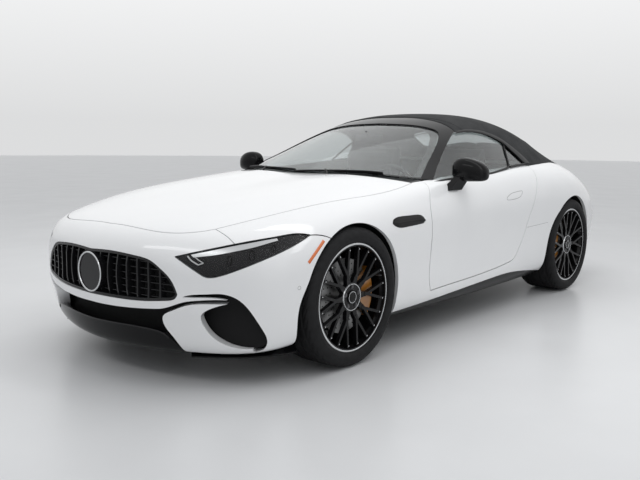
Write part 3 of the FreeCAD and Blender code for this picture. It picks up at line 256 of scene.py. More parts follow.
FINISHES = {
    "paint": finish("white_paint", (0.80, 0.805, 0.81), 0.38,
                    (3, 2, (0.79, 0.795, 0.80), (0.81, 0.815, 0.82)),
                    grain=(260, 0.02, 0.0004), Coat_Weight=1, Coat_Roughness=0.025),
    "gloss_black": finish("gloss_black", (0.005, 0.005, 0.0055), 0.16, gloss=(25, 4, 0.09, 0.16),
                          grain=(220, 0.015, 0.0004), Specular_IOR_Level=0.16),
    "glass": finish("window_glass", (0.66, 0.70, 0.70), 0, grain=(3, 0.004, 0.001), IOR=1.45,
                    Transmission_Weight=1, Specular_IOR_Level=0.3),
    "roof_fabric": roof_fabric(),
    "lamp_lens": finish("lamp_lens", (0.02, 0.02, 0.022), 0.04, grain=(3, 0.004, 0.001),
                        Specular_IOR_Level=0.6, Alpha=0.05),
    "lamp_dark": plain("lamp_dark", (0.008, 0.008, 0.009), 0.3, Specular_IOR_Level=0.25),
    "tail_red": tail_red(),
    "grille_metal": plain("grille_black", (0.010, 0.010, 0.011), 0.24, Specular_IOR_Level=0.3),
    "caliper_paint": finish("caliper_paint", (0.36, 0.14, 0.015), 0.3,
                            (30, 3, (0.32, 0.12, 0.012), (0.40, 0.16, 0.018)),
                            grain=(300, 0.05, 0.0003), Coat_Weight=0.6, Coat_Roughness=0.08),
    "chassis_metal": metal("chassis_metal", (0.12, 0.12, 0.125), 0.55),
    "dark_plastic": finish("dark_plastic", (0.008, 0.008, 0.0085), 0.62, gloss=(40, 4, 0.55, 0.7),
                           pores=(900, 0.15, 0.0003), Specular_IOR_Level=0.15),
    "engine_metal": metal("engine_metal", (0.3, 0.3, 0.31), 0.45),
    "cabin_leather": leather("cabin_leather", (0.016, 0.016, 0.017), (0.03, 0.03, 0.031)),
    "seat_leather": leather("seat_leather", (0.02, 0.02, 0.021), (0.036, 0.036, 0.038)),
    "exhaust_steel": metal("exhaust_steel", (0.5, 0.5, 0.51), 0.25, (1, 12, 12)),
    "tyre": finish("tyre_rubber", (0.012, 0.012, 0.013), 0.7,
                   (30, 4, (0.009, 0.009, 0.0095), (0.015, 0.015, 0.016)),
                   (60, 4, 0.6, 0.82), (700, 0.12, 0.0003), Specular_IOR_Level=0.2),
    "rim_black": finish("rim_black", (0.005, 0.005, 0.0055), 0.22, gloss=(60, 3, 0.16, 0.28),
                        grain=(500, 0.02, 0.0003), Specular_IOR_Level=0.2),
    "disc_steel": metal("disc_steel", (0.25, 0.25, 0.25), 0.35, (1, 1, 1)),
    "machined": metal("machined_lip", (0.62, 0.63, 0.64), 0.2, (8, 1, 1)),
    "seal": plain("rubber_seal", (0.007, 0.007, 0.0075), 0.45, Specular_IOR_Level=0.3),
    # shut_line is a grey for thin lines laid on the white paint: painted shade of the narrow gaps round the
    # door handles and parking sensors, and of the line on the rear quarters.
    "shut_line": plain("shut_line", (0.22, 0.22, 0.225), 0.6),
    "amber": plain("amber_lens", (0.62, 0.13, 0.01), 0.25, Coat_Weight=1),
    "silver": metal("lamp_silver", (0.55, 0.56, 0.57), 0.3),
    "mirror_glass": metal("mirror_glass", (0.75, 0.77, 0.78), 0.05),
}


def dress(piece, material):
    """Give a piece one material."""
    piece.data.materials.clear()
    piece.data.materials.append(material)


for node, item in NODES.items():
    if item.data.materials:
        for index in range(len(item.data.materials)):
            item.data.materials[index] = FINISHES[SLOT_OF[node]]
    else:
        item.data.materials.append(FINISHES[SLOT_OF[node]])

make_camera()
make_world()
bpy.context.scene.view_settings.view_transform = "Standard"
make_light("ceiling", (0, 0, 4.2), (7.5, 5.0), 120).visible_glossy = False
make_light("strip_left", (1.9, -0.6, 3.3), (0.5, 5.5), 22, (0.6, -0.4, 0.8))
make_light("strip_front", (0.4, -4.4, 3.0), (4.2, 0.5), 18, (0, -1.6, 0.7))
make_light("side", (6.0, -2.0, 2.6), (2.5, 6.0), 18, (0, 0, 0.5))

bpy.ops.mesh.primitive_circle_add(vertices=96, radius=FLOOR_RADIUS, fill_type="NGON")
floor = bpy.context.object
floor.name = "floor"
dress(floor, finish("floor_finish", (0.66, 0.665, 0.67), 0.32,
                    (1.2, 4.0, (0.64, 0.645, 0.65), (0.68, 0.685, 0.69)), (2.5, 4.0, 0.26, 0.38)))


# The car's skins: smooth surfaces over rings of poles, from the nose to the tail.
# A ring is half a section, from the top centre round to the bottom centre, in millimetres.

def ring(station, *poles):
    """A whole ring; a pole is (x, z), or (x, z, its own y)."""
    half = [(pole[0], pole[2] if len(pole) > 2 else station, pole[1]) for pole in poles]
    other = [(-x, y, z) for x, y, z in half[1:-1]]
    return [other[-1], half[-1]] + half[-2:0:-1] + [half[0]] + other[:-1]


BODY_RINGS = np.array([
    ring(-2352, (0, 545), (45, 544), (80, 540), (110, 530), (125, 515), (130, 500),
         (125, 485), (110, 470), (80, 460), (45, 456), (20, 455), (0, 455)),
    ring(0, (0, 615, -2350), (200, 614, -2340), (340, 604, -2320), (450, 575, -2298),
         (505, 535, -2285), (520, 492, -2280), (510, 450, -2284), (455, 412, -2300),
         (340, 392, -2325), (200, 385, -2345), (100, 382, -2355), (0, 382, -2358)),
    ring(0, (0, 672, -2328), (250, 674, -2312), (440, 662, -2278), (590, 618, -2236),
         (652, 560, -2212), (668, 500, -2204), (660, 435, -2208), (612, 375, -2232),
         (480, 335, -2282), (320, 318, -2325), (160, 312, -2345), (0, 310, -2352)),
    ring(0, (0, 728, -2262), (300, 732, -2240), (540, 722, -2185), (710, 680, -2125),
         (782, 615, -2090), (803, 540, -2078), (806, 450, -2078), (795, 330, -2088),
         (768, 208, -2105), (648, 168, -2182), (330, 165, -2300), (0, 162, -2335)),
    ring(0, (0, 760, -2155), (330, 766, -2130), (620, 752, -2060), (790, 708, -1990),
         (862, 645, -1950), (886, 560, -1936), (892, 460, -1932), (890, 350, -1934),
         (884, 225, -1940), (858, 148, -1948), (430, 136, -2180), (0, 138, -2290)),
    ring(0, (0, 792, -1985), (345, 804, -1955), (635, 792, -1890), (825, 752, -1825),
         (898, 690, -1795), (926, 605, -1784), (934, 500, -1780), (936, 380, -1780),
         (928, 260, -1782), (890, 165, -1790), (450, 135, -1950), (0, 135, -2080)),
    ring(0, (0, 828, -1780), (352, 845, -1755), (622, 832, -1705), (830, 800, -1655),
         (912, 742, -1630), (946, 660, -1620), (957, 545, -1617), (958, 420, -1617),
         (946, 280, -1620), (895, 160, -1625), (450, 130, -1720), (0, 130, -1800)),
    ring(-1420, (0, 874), (352, 894), (600, 878), (802, 846), (905, 795), (950, 715),
         (962, 600), (960, 450), (945, 300), (890, 150), (450, 130), (0, 130)),
    ring(-1160, (0, 903), (350, 925), (590, 908), (800, 872), (893, 815), (934, 730),
         (947, 620), (938, 450), (930, 300), (888, 150), (450, 130), (0, 130)),
    ring(-900, (0, 932), (350, 952), (600, 934), (800, 897), (880, 848), (918, 760),
         (932, 640), (918, 460), (918, 300), (883, 145), (450, 130), (0, 130)),
    ring(-600, (0, 962), (350, 975), (620, 955), (806, 922), (876, 882), (910, 790),
         (926, 660), (903, 470), (913, 285), (880, 140), (450, 130), (0, 130)),
    ring(-250, (0, 985), (350, 992), (630, 975), (806, 942), (872, 900), (905, 810),
         (922, 680), (897, 480), (915, 280), (880, 135), (450, 130), (0, 130)),
    ring(100, (0, 1000), (350, 1002), (630, 990), (804, 962), (868, 920), (903, 825),
         (921, 700), (897, 500), (918, 285), (880, 135), (450, 130), (0, 130)),
    ring(450, (0, 1010), (350, 1012), (620, 1002), (798, 982), (868, 940), (908, 850),
         (928, 715), (905, 520), (925, 300), (885, 140), (450, 130), (0, 130)),
    ring(750, (0, 1015), (350, 1017), (610, 1012), (782, 1000), (868, 955), (922, 870),
         (940, 720), (925, 540), (935, 320), (888, 145), (450, 130), (0, 130)),
    ring(1030, (0, 1016), (350, 1018), (600, 1018), (765, 1010), (865, 962), (938, 880),
         (954, 720), (948, 540), (948, 330), (890, 150), (450, 130), (0, 130)),
    ring(1288, (0, 1010), (350, 1013), (585, 1015), (742, 1008), (856, 956), (944, 875),
         (963, 720), (962, 540), (954, 330), (888, 155), (450, 135), (0, 135)),
    ring(1550, (0, 992), (345, 994), (560, 990), (692, 975), (800, 920), (894, 845),
         (936, 710), (940, 540), (928, 340), (870, 170), (450, 150), (0, 150)),
    ring(1780, (0, 967), (335, 965), (525, 955), (650, 930), (748, 870), (838, 795),
         (890, 700), (904, 540), (888, 350), (838, 200), (430, 180), (0, 180)),
    ring(0, (0, 940, 2000), (315, 936, 1995), (490, 922, 1985), (608, 888, 1972),
         (702, 829, 1955), (788, 759, 1938), (843, 668, 1928), (861, 540, 1925),
         (845, 380, 1932), (790, 240, 1945), (400, 205, 1980), (0, 205, 2000)),
    ring(0, (0, 918, 2160), (295, 913, 2152), (460, 895, 2132), (580, 862, 2105),
         (678, 806, 2080), (768, 738, 2058), (812, 640, 2046), (822, 520, 2045),
         (798, 390, 2052), (730, 270, 2070), (380, 225, 2120), (0, 215, 2150)),
    ring(0, (0, 880, 2262), (275, 875, 2252), (425, 858, 2235), (535, 825, 2210),
         (625, 772, 2188), (700, 708, 2176), (738, 620, 2176), (744, 510, 2180),
         (715, 400, 2188), (645, 300, 2205), (340, 260, 2250), (0, 250, 2270)),
    ring(0, (0, 800, 2315), (225, 795, 2308), (345, 780, 2294), (435, 750, 2280),
         (508, 710, 2270), (560, 660, 2266), (586, 590, 2268), (585, 515, 2273),
         (560, 430, 2280), (495, 362, 2292), (260, 330, 2322), (0, 325, 2338)),
    ring(2352, (0, 650), (60, 648), (100, 642), (130, 630), (148, 612), (155, 592),
         (150, 570), (132, 550), (105, 538), (65, 532), (30, 530), (0, 530)),
])

CANOPY_RINGS = np.array([
    ring(-1000, (0, 880), (250, 875), (480, 862), (655, 845), (765, 825), (822, 800),
         (840, 770), (840, 700), (400, 690), (0, 690)),
    ring(-830, (0, 953), (260, 946), (495, 926), (668, 897), (778, 869), (834, 840),
         (860, 800), (860, 700), (400, 690), (0, 690)),
    ring(-600, (0, 1046), (260, 1038), (495, 1012), (678, 968), (800, 917), (855, 870),
         (880, 820), (880, 700), (400, 690), (0, 690)),
    ring(-350, (0, 1144), (260, 1135), (486, 1107), (655, 1052), (774, 977), (846, 905),
         (887, 840), (890, 700), (400, 690), (0, 690)),
    ring(-120, (0, 1230), (255, 1222), (471, 1194), (630, 1140), (738, 1047), (824, 950),
         (882, 870), (892, 700), (400, 690), (0, 690)),
    ring(100, (0, 1303), (250, 1295), (455, 1268), (602, 1210), (702, 1110), (799, 1000),
         (870, 900), (890, 700), (400, 690), (0, 690)),
    ring(320, (0, 1349), (250, 1343), (447, 1316), (590, 1256), (688, 1145), (787, 1025),
         (862, 915), (886, 700), (400, 690), (0, 690)),
    ring(550, (0, 1360), (250, 1354), (447, 1327), (591, 1262), (688, 1148), (780, 1030),
         (852, 930), (880, 720), (400, 710), (0, 710)),
    ring(800, (0, 1334), (250, 1328), (451, 1302), (598, 1239), (692, 1137), (772, 1035),
         (838, 950), (870, 750), (400, 740), (0, 740)),
    ring(1050, (0, 1276), (245, 1272), (440, 1249), (588, 1191), (682, 1106), (755, 1035),
         (815, 970), (850, 800), (400, 780), (0, 780)),
    ring(1280, (0, 1197), (240, 1194), (425, 1173), (565, 1122), (652, 1062), (725, 1018),
         (780, 970), (820, 830), (400, 800), (0, 800)),
    ring(1500, (0, 1098), (235, 1096), (405, 1081), (535, 1048), (620, 1013), (685, 985),
         (740, 955), (780, 850), (400, 820), (0, 820)),
    ring(1700, (0, 985), (235, 983), (400, 975), (525, 960), (605, 945), (665, 930),
         (710, 915), (740, 850), (400, 830), (0, 830)),
])


def inset(rings, depth):
    """The same rings moved inwards, square to the net of poles."""
    last = len(rings) - 1
    ahead = rings[[min(row + 1, last) for row in range(last + 1)]]
    behind = rings[[max(row - 1, 0) for row in range(last + 1)]]
    around = np.roll(rings, -1, axis=1) - np.roll(rings, 1, axis=1)
    normal = np.cross(ahead - behind, around)
    moved = rings - normal / np.linalg.norm(normal, axis=2, keepdims=True) * depth
    moved[0, :, 1] = rings[0, 0, 1] + depth
    moved[-1, :, 1] = rings[-1, 0, 1] - depth
    return moved


# Steps between two poles from which the search for a nearest point may start, and its rounds
STEPS_ALONG = 12
STEPS_AROUND = 8
SEARCH_ROUNDS = 6


class Skin:
    """A cubic surface over rings: clamped along the car, closed around it. It answers in metres."""

    def __init__(self, rings):
        self.poles = rings / 1000.0
        self.rows, self.columns = rings.shape[:2]
        self.end = self.rows - 3
        inner = np.arange(1, self.end)
        self.knots = np.concatenate([[0.0] * 4, inner, [float(self.end)] * 4])
        along = np.linspace(0, self.end, self.end * STEPS_ALONG + 1)
        around = np.arange(0, self.columns, 1 / STEPS_AROUND)
        grid = np.meshgrid(along, around, indexing="ij")
        self.samples = np.stack([axis.ravel() for axis in grid], axis=1)
        points = self.at(self.samples[:, 0], self.samples[:, 1])[0]
        self.tree = KDTree(len(points))
        for index, point in enumerate(points):
            self.tree.insert(point, index)
        self.tree.balance()

    def along_weights(self, place):
        """Cubic basis values and slopes of the four rings that act at each place."""
        span = np.clip(place.astype(int), 0, self.end - 1) + 3
        values = np.ones((len(place), 1))
        for degree in range(1, 4):
            previous = values
            values = np.zeros((len(place), degree + 1))
            slopes = np.zeros((len(place), degree + 1))
            for k in range(degree):
                low = self.knots[span - degree + 1 + k]
                high = self.knots[span + 1 + k]
                share = previous[:, k] / (high - low)
                values[:, k] += (high - place) * share
                values[:, k + 1] += (place - low) * share
                slopes[:, k] -= degree * share
                slopes[:, k + 1] += degree * share
        return span - 3, values, slopes

    def at(self, along, around):
        """Points and the two slopes of the surface."""
        first, values, slopes = self.along_weights(along)
        column = np.floor(around).astype(int)
        part = around - column
        weights = np.stack([(1 - part) ** 3, 3 * part ** 3 - 6 * part ** 2 + 4,
                            -3 * part ** 3 + 3 * part ** 2 + 3 * part + 1, part ** 3], axis=1) / 6
        turns = np.stack([-(1 - part) ** 2, 3 * part ** 2 - 4 * part,
                          -3 * part ** 2 + 2 * part + 1, part ** 2], axis=1) / 2
        rows = first[:, None, None] + np.arange(4)[None, :, None]
        columns = (column[:, None, None] + np.arange(-1, 3)[None, None, :]) % self.columns
        poles = self.poles[rows, columns]
        point = np.einsum("ni,nj,nijk->nk", values, weights, poles)
        lengthwise = np.einsum("ni,nj,nijk->nk", slopes, weights, poles)
        crosswise = np.einsum("ni,nj,nijk->nk", values, turns, poles)
        return point, lengthwise, crosswise

    def nearest(self, points):
        """The surface's nearest points to the given ones, their outward normals and the distances."""
        starts = np.array([self.samples[self.tree.find(point)[1]] for point in points])
        along, around = starts[:, 0], starts[:, 1]
        for _ in range(SEARCH_ROUNDS):
            foot, first, second = self.at(along, around)
            error = points - foot
            a, b, c = (first * first).sum(1), (first * second).sum(1), (second * second).sum(1)
            d, e = (first * error).sum(1), (second * error).sum(1)
            scale = np.maximum(a * c - b * b, 1e-14)
            along = np.clip(along + np.clip((c * d - b * e) / scale, -0.5, 0.5), 0, self.end - 1e-9)
            around = around + np.clip((a * e - b * d) / scale, -0.5, 0.5)
        foot, first, second = self.at(along, around)
        normal = np.cross(first, second)
        normal /= np.maximum(np.linalg.norm(normal, axis=1, keepdims=True), 1e-12)
        return foot, normal, np.linalg.norm(points - foot, axis=1)


WELD = 1e-5


def mesh_values(items, field):
    """A vector of each of a mesh's items, as rows of an array."""
    values = np.zeros(len(items) * 3, np.float32)
    items.foreach_get(field, values)
    return values.reshape(-1, 3)


def vertex_places(mesh):
    return mesh_values(mesh.vertices, "co").astype(float)


def welded(node):
    """An edit mesh of a CAD node's form, with its doubled vertices joined."""
    edit = bmesh.new()
    edit.from_mesh(NODES[node].data)
    bmesh.ops.remove_doubles(edit, verts=edit.verts, dist=WELD)
    return edit


def new_mesh(name, edit):
    """A mesh from an edit mesh, which is freed."""
    mesh = bpy.data.meshes.new(name)
    edit.to_mesh(mesh)
    edit.free()
    return mesh


def soften(mesh, angle=30.0):
    """Smooth shading with sharp edges where faces meet at more than the angle."""
    limit = math.radians(angle)
    edit = bmesh.new()
    edit.from_mesh(mesh)
    for face in edit.faces:
        face.smooth = True
    for edge in edit.edges:
        edge.smooth = len(edge.link_faces) == 2 and edge.calc_face_angle(0.0) < limit
    edit.to_mesh(mesh)
    edit.free()


# How near to a skin a vertex lies on it, and how closely such a face has to look the skin's way
ON_SKIN = 0.0012
FLUSH = 0.8
LONGEST_EDGE = 0.03
ROUNDS = 4


def on_skins(edit, skins):
    """For each vertex: the outward direction and the number of the skin that it lies on, or -1."""
    edit.verts.index_update()
    places = np.array([vertex.co for vertex in edit.verts], float)
    outward = np.zeros_like(places)
    skin_of = np.full(len(places), -1)
    closest = np.full(len(places), ON_SKIN)
    for number, skin in enumerate(skins):
        _, normal, distance = skin.nearest(places)
        better = distance < closest
        outward[better] = normal[better]
        skin_of[better] = number
        closest[better] = distance[better]
    return outward, skin_of


def divide(edit, layer):
    """Divide the skin faces until their edges are short, or the rounds are over."""
    for _ in range(ROUNDS):
        long_edges = [edge for edge in edit.edges if edge.calc_length() > LONGEST_EDGE
                      and any(face[layer] for face in edge.link_faces)]
        if not long_edges:
            break
        bmesh.ops.subdivide_edges(edit, edges=long_edges, cuts=1)
        bmesh.ops.triangulate(edit, faces=edit.faces)
        inner = [edge for edge in edit.edges if len(edge.link_faces) == 2
                 and edge.link_faces[0][layer] and edge.link_faces[0][layer] == edge.link_faces[1][layer]]
        bmesh.ops.beautify_fill(edit, faces=[face for face in edit.faces if face[layer]], edges=inner)


def refined(node, skins):
    """A finer mesh of a CAD node: its skin faces are divided and laid on the true surface."""
    edit = welded(node)
    bmesh.ops.triangulate(edit, faces=edit.faces)
    outward, skin_of = on_skins(edit, skins)
    layer = edit.faces.layers.int.new("skin")
    for face in edit.faces:
        numbers = [skin_of[vertex.index] for vertex in face.verts]
        facing = abs(face.normal.dot(Vector(outward[face.verts[0].index])))
        flush = numbers[0] >= 0 and min(numbers) == max(numbers) and facing > FLUSH
        face[layer] = numbers[0] + 1 if flush else 0
    divide(edit, layer)
    edit.verts.index_update()
    wanted = {vertex.index: face[layer] - 1 for face in edit.faces if face[layer] for vertex in face.verts}
    edit.verts.ensure_lookup_table()
    for number, skin in enumerate(skins):
        chosen = [index for index, owner in wanted.items() if owner == number]
        if not chosen:
            continue
        places = np.array([edit.verts[index].co for index in chosen], float)
        for index, foot in zip(chosen, skin.nearest(places)[0]):
            edit.verts[index].co = foot
    mesh = new_mesh(node + "_fine", edit)
    soften(mesh)
    lay_normals(mesh, skins)
    return mesh


def lay_normals(mesh, skins):
    """Give the skin faces' corners the true surface's normals."""
    owner = np.zeros(len(mesh.polygons), np.int32)
    mesh.attributes["skin"].data.foreach_get("value", owner)
    starts = np.zeros(len(mesh.loops), np.int32)
    mesh.loops.foreach_get("vertex_index", starts)
    corner_owner = np.repeat(owner, [polygon.loop_total for polygon in mesh.polygons])
    normals = mesh_values(mesh.corner_normals, "vector")
    places = vertex_places(mesh)
    for number, skin in enumerate(skins):
        chosen = np.nonzero(corner_owner == number + 1)[0]
        if not len(chosen):
            continue
        vertices, back = np.unique(starts[chosen], return_inverse=True)
        true = skin.nearest(places[vertices])[1][back]
        sign = np.sign((true * normals[chosen]).sum(1))[:, None]
        normals[chosen] = true * np.where(sign == 0, 1, sign)
    mesh.normals_split_custom_set(normals.tolist())


def added(name, mesh, look, body):
    """A new piece that rides on a body."""
    piece = bpy.data.objects.new(name, mesh)
    bpy.context.scene.collection.objects.link(piece)
    dress(piece, FINISHES[look])
    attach(piece, body)
    return piece


def stand_in(name, mesh, node):
    """A piece that stands for a CAD node, with its body and slot."""
    piece = added(name, mesh, SLOT_OF[node], BODY_OF[node])
    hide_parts(node)
    return piece


def smooth_node(node):
    """A CAD node's own form with smooth shading."""
    name = node + "_form"
    mesh = new_mesh(name, welded(node))
    soften(mesh, 28.0)
    return stand_in(name, mesh, node)


body_skin = Skin(BODY_RINGS)
canopy_skin = Skin(CANOPY_RINGS)
GLASS_SETBACK = 9.0
GLASS_WALL = 5.0
glass_outer = Skin(inset(CANOPY_RINGS, GLASS_SETBACK))
glass_inner = Skin(inset(CANOPY_RINGS, GLASS_SETBACK + GLASS_WALL))

for node in ("hood", "boot_lid", "door_left", "door_right", "front_fenders", "front_bumper", "body_sides",
             "rear_bumper", "splitter", "side_trim", "diffuser", "headlamp_lenses", "tail_lamps"):
    stand_in(node + "_skin", refined(node, [body_skin]), node)
stand_in("windscreen_frame_skin", refined("windscreen_frame", [canopy_skin]), "windscreen_frame")
roof = stand_in("soft_top_skin", refined("soft_top", [canopy_skin]), "soft_top")
for node in ("windscreen", "rear_windows", "door_glass_left", "door_glass_right"):
    stand_in(node + "_pane", refined(node, [glass_outer, glass_inner]), node)


# Wheels

# Outer face's place, width and radius of the front and rear tyres
TYRES = {"f": (0.938, 0.275, 0.363), "r": (0.942, 0.305, 0.360)}
RIM_RADIUS = 0.281
RIM_SETBACK = 0.016
HUB_DEPTH = 0.018
BOLT_COUNT = 5
BOLT_CIRCLE = 0.055
SPOKE_PAIRS = 10
SPOKE_OFFSET = 0.038
SPOKE_END = 0.247
DISC_SETBACK = 0.086
HOLE_ROWS = 24
HOLE_RADII = (0.115, 0.143, 0.171)
VALVE = (-0.012, 0.226, 0.085)
TREAD_STEPS = 228
TREAD_POINTS = 87
TREAD_SINK = 0.0005
TREAD_DEPTH = 0.007
TREAD_SHARE = 0.86
GROOVES = (-0.62, -0.21, 0.21, 0.62)
GROOVE_HALF = 0.0065
GROOVE_WALL = 0.0018
CROWN_DROP = 0.0245
CROWN_POWER = 8
CROWN_DEPTH = 0.016
BLOCK_STEPS = 6
BLOCK_SLANT = 260
SHOULDER_BAND = (0.66, 0.93)
SHOULDER_CUT = 0.005
BLOCK_BAND = (0.26, 0.57)
BLOCK_CUT = 0.004
# Points of the sidewall, from the shoulder to the bead: share of the half width, height under the tread
SIDEWALL = [(0.905, -0.0135), (0.945, -0.0215), (0.972, -0.028), (0.986, -0.036), (0.994, -0.043),
            (0.9985, -0.049), (0.9935, -0.0495), (0.9945, -0.0525), (0.9995, -0.053), (0.995, -0.061),
            (0.984, -0.069), (0.955, -0.0752), (0.90, -0.0797)]
SIDEWALL_HEIGHT = 0.0805
BEAD_CLEARANCE = 0.0015


def made(name, edit, look, body, smooth=30.0):
    """A new piece from an edit mesh; its slot is its finish's own."""
    mesh = new_mesh(name, edit)
    soften(mesh, smooth)
    return added(name, mesh, look, body)


def join(edit, rows, looped=False, closed=True):
    """Faces between rows of points, each row closed or open; looped, or with caps at both ends."""
    count = len(rows[0])
    for index in range(len(rows) if looped else len(rows) - 1):
        row, following = rows[index], rows[(index + 1) % len(rows)]
        for k in range(count if closed else count - 1):
            near = (k + 1) % count
            edit.faces.new((row[k], row[near], following[near], following[k]))
    if not looped:
        edit.faces.new(rows[0])
        edit.faces.new(rows[-1][::-1])


def ring_of(edit, profile, steps, turn=None, closed=True):
    """Turn a profile of (x, radius) about the X axis. turn may change a point by its step."""
    rows = []
    for step in range(steps):
        angle = math.tau * step / steps
        row = []
        for x, radius in profile:
            if turn:
                x, radius = turn(step, x, radius)
            row.append(edit.verts.new((x, radius * math.cos(angle), radius * math.sin(angle))))
        rows.append(row)
    join(edit, rows, looped=True, closed=closed)


def out_from(x, profile):
    """A profile with its places counted outwards from x."""
    return [(x + step, radius) for step, radius in profile]


def on_wheel(name, edit, look, corner, node="rim_", smooth=30.0):
    """A piece of a wheel, which is drawn about the origin with its outer face towards +X."""
    low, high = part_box("tyre_" + corner)
    middle = (low + high) / 2
    if corner[1] == "r":
        bmesh.ops.rotate(edit, verts=edit.verts, cent=(0, 0, 0), matrix=Matrix.Rotation(math.pi, 3, "Z"))
    bmesh.ops.translate(edit, verts=edit.verts, vec=(0, middle.y, middle.z))
    bmesh.ops.recalc_face_normals(edit, faces=edit.faces)
    return made(name, edit, look, BODY_OF[node + corner], smooth)


def tyre_profile(middle, half, radius):
    """Tread with round grooves, shoulders, sidewalls with a rim guard and fine rings, and beads."""
    crown = []
    for share in np.linspace(-TREAD_SHARE, TREAD_SHARE, TREAD_POINTS):
        depth = 0.0
        for groove in GROOVES:
            reach = abs(share - groove) * half
            if reach < GROOVE_HALF:
                depth = TREAD_DEPTH * min(1.0, (GROOVE_HALF - reach) / GROOVE_WALL)
        camber = CROWN_DROP * share ** CROWN_POWER
        crown.append((middle + share * half, radius - TREAD_SINK - camber - depth))
    scale = (radius - RIM_RADIUS - BEAD_CLEARANCE) / SIDEWALL_HEIGHT
    outer = [(middle + x * half, radius + drop * scale) for x, drop in SIDEWALL]
    inner = [(middle - x * half, radius + drop * scale) for x, drop in reversed(SIDEWALL)]
    return inner + crown + outer


def tyre(corner, face, width, radius):
    middle = face - width / 2
    half = width / 2

    def cut(step, x, height):
        """Slanting cuts between the tread's blocks and across its shoulders."""
        share = abs(x - middle) / half
        slant = int(round((x - middle) * BLOCK_SLANT))
        if radius - height < CROWN_DEPTH and (step + slant) % BLOCK_STEPS < 1:
            if SHOULDER_BAND[0] < share < SHOULDER_BAND[1]:
                return x, height - SHOULDER_CUT
            if BLOCK_BAND[0] < share < BLOCK_BAND[1] and (step // BLOCK_STEPS) % 2 == 0:
                return x, height - BLOCK_CUT
        return x, height

    edit = bmesh.new()
    ring_of(edit, tyre_profile(middle, half, radius), TREAD_STEPS, cut)
    piece = on_wheel("tyre_" + corner + "_rubber", edit, "tyre", corner, "tyre_", smooth=24.0)
    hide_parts("tyre_" + corner)


def lip_ring(corner, face):
    """The bright machined edge of the rim."""
    edit = bmesh.new()
    ring_of(edit, out_from(face - RIM_SETBACK, [
        (0.0004, RIM_RADIUS), (0.0012, RIM_RADIUS - 0.0015), (0.0012, RIM_RADIUS - 0.007),
        (0.0004, RIM_RADIUS - 0.009), (-0.002, RIM_RADIUS - 0.009), (-0.002, RIM_RADIUS)]), 160)
    on_wheel("rim_lip_" + corner, edit, "machined", corner)


def rod_between(edit, start, end, radius, segments=12):
    """A round bar between two points, closed at both ends."""
    start, end = Vector(start), Vector(end)
    span = end - start
    turn = span.to_track_quat("Z", "Y").to_matrix().to_4x4()
    bmesh.ops.create_cone(edit, cap_ends=True, segments=segments, radius1=radius, radius2=radius,
                          depth=span.length, matrix=Matrix.Translation((start + end) / 2) @ turn)


def stud(edit, place, back, front, radius, segments):
    """A round or six-sided stud along X, from behind a place to before it."""
    rod_between(edit, place - Vector((back, 0, 0)), place + Vector((front, 0, 0)), radius, segments)


def wheel_details(corner, face):
    """Centre cap, wheel bolts in their pockets, small bolts at the spokes' ends and the valve."""
    outer = face - RIM_SETBACK
    hub_face = outer - HUB_DEPTH
    cap = bmesh.new()
    ring_of(cap, out_from(hub_face, [
        (0.0005, 0.0001), (0.007, 0.0001), (0.0065, 0.022), (0.0035, 0.0262), (0.0035, 0.030),
        (0.0065, 0.0315), (0.006, 0.0345), (0.0005, 0.036)]), 64, closed=False)
    bmesh.ops.remove_doubles(cap, verts=cap.verts, dist=0.0002)
    on_wheel("centre_cap_" + corner, cap, "gloss_black", corner)
    trim = bmesh.new()
    ring_of(trim, out_from(hub_face, [(0.0035, 0.0268), (0.0072, 0.0278), (0.0072, 0.0302),
                                      (0.0035, 0.0312)]), 64)
    ring_of(trim, out_from(hub_face, [(-0.001, 0.066), (0.004, 0.0665), (0.0045, 0.0695),
                                      (-0.001, 0.072)]), 96)
    for index in range(SPOKE_PAIRS):
        turn = Matrix.Rotation(math.tau * index / SPOKE_PAIRS, 3, "X")
        for lean in SIDES:
            stud(trim, turn @ Vector((outer - 0.0055, lean * SPOKE_OFFSET, SPOKE_END)), 0, 0.0042, 0.0032, 10)
    on_wheel("rim_bolts_" + corner, trim, "machined", corner)
    bolts = bmesh.new()
    for index in range(BOLT_COUNT):
        angle = math.tau * index / BOLT_COUNT
        place = Vector((hub_face, BOLT_CIRCLE * math.sin(angle), BOLT_CIRCLE * math.cos(angle)))
        stud(bolts, place, 0.004, 0.0065, 0.0088, 6)
        stud(bolts, place, 0, 0.0028, 0.0118, 20)
    stem = Vector((outer + VALVE[0], *VALVE[1:]))
    rod_between(bolts, stem - Vector((0.02, 0.004, 0.0015)), stem + Vector((0.012, 0, 0)), 0.0042)
    on_wheel("wheel_bolts_" + corner, bolts, "chassis_metal", corner)


def disc_hole_shade(corner, face):
    """Cross-drilled holes in the brake disc, as dark cups on its outer side: painted shade that stands for
    the dark inside the holes.
    """
    edit = bmesh.new()
    for index in range(HOLE_ROWS):
        for place, radius in enumerate(HOLE_RADII):
            angle = math.tau * (index + place / 3) / HOLE_ROWS
            middle = Vector((face - DISC_SETBACK, radius * math.cos(angle), radius * math.sin(angle)))
            stud(edit, middle, 0.002, 0.0004, 0.0042, 8)
    # The cups take the dark plastic finish. It is painted shade of the holes, not a plastic part.
    on_wheel("disc_hole_shade_" + corner, edit, "dark_plastic", corner, "brake_disc_")


for corner in ("fl", "fr", "rl", "rr"):
    tyre_face, tyre_width, tyre_radius = TYRES[corner[0]]
    tyre(corner, tyre_face, tyre_width, tyre_radius)
    smooth_node("rim_" + corner)
    smooth_node("brake_disc_" + corner)
    lip_ring(corner, tyre_face)
    wheel_details(corner, tyre_face)
    disc_hole_shade(corner, tyre_face)
for node in ("caliper_fl", "caliper_fr", "rear_calipers", "steering_wheel", "mirror_left", "mirror_right",
             "dashboard", "exhaust", "suspension", "grille"):
    smooth_node(node)

HOUSING_FRONT = 0.006
HOUSING_STEP = 0.003


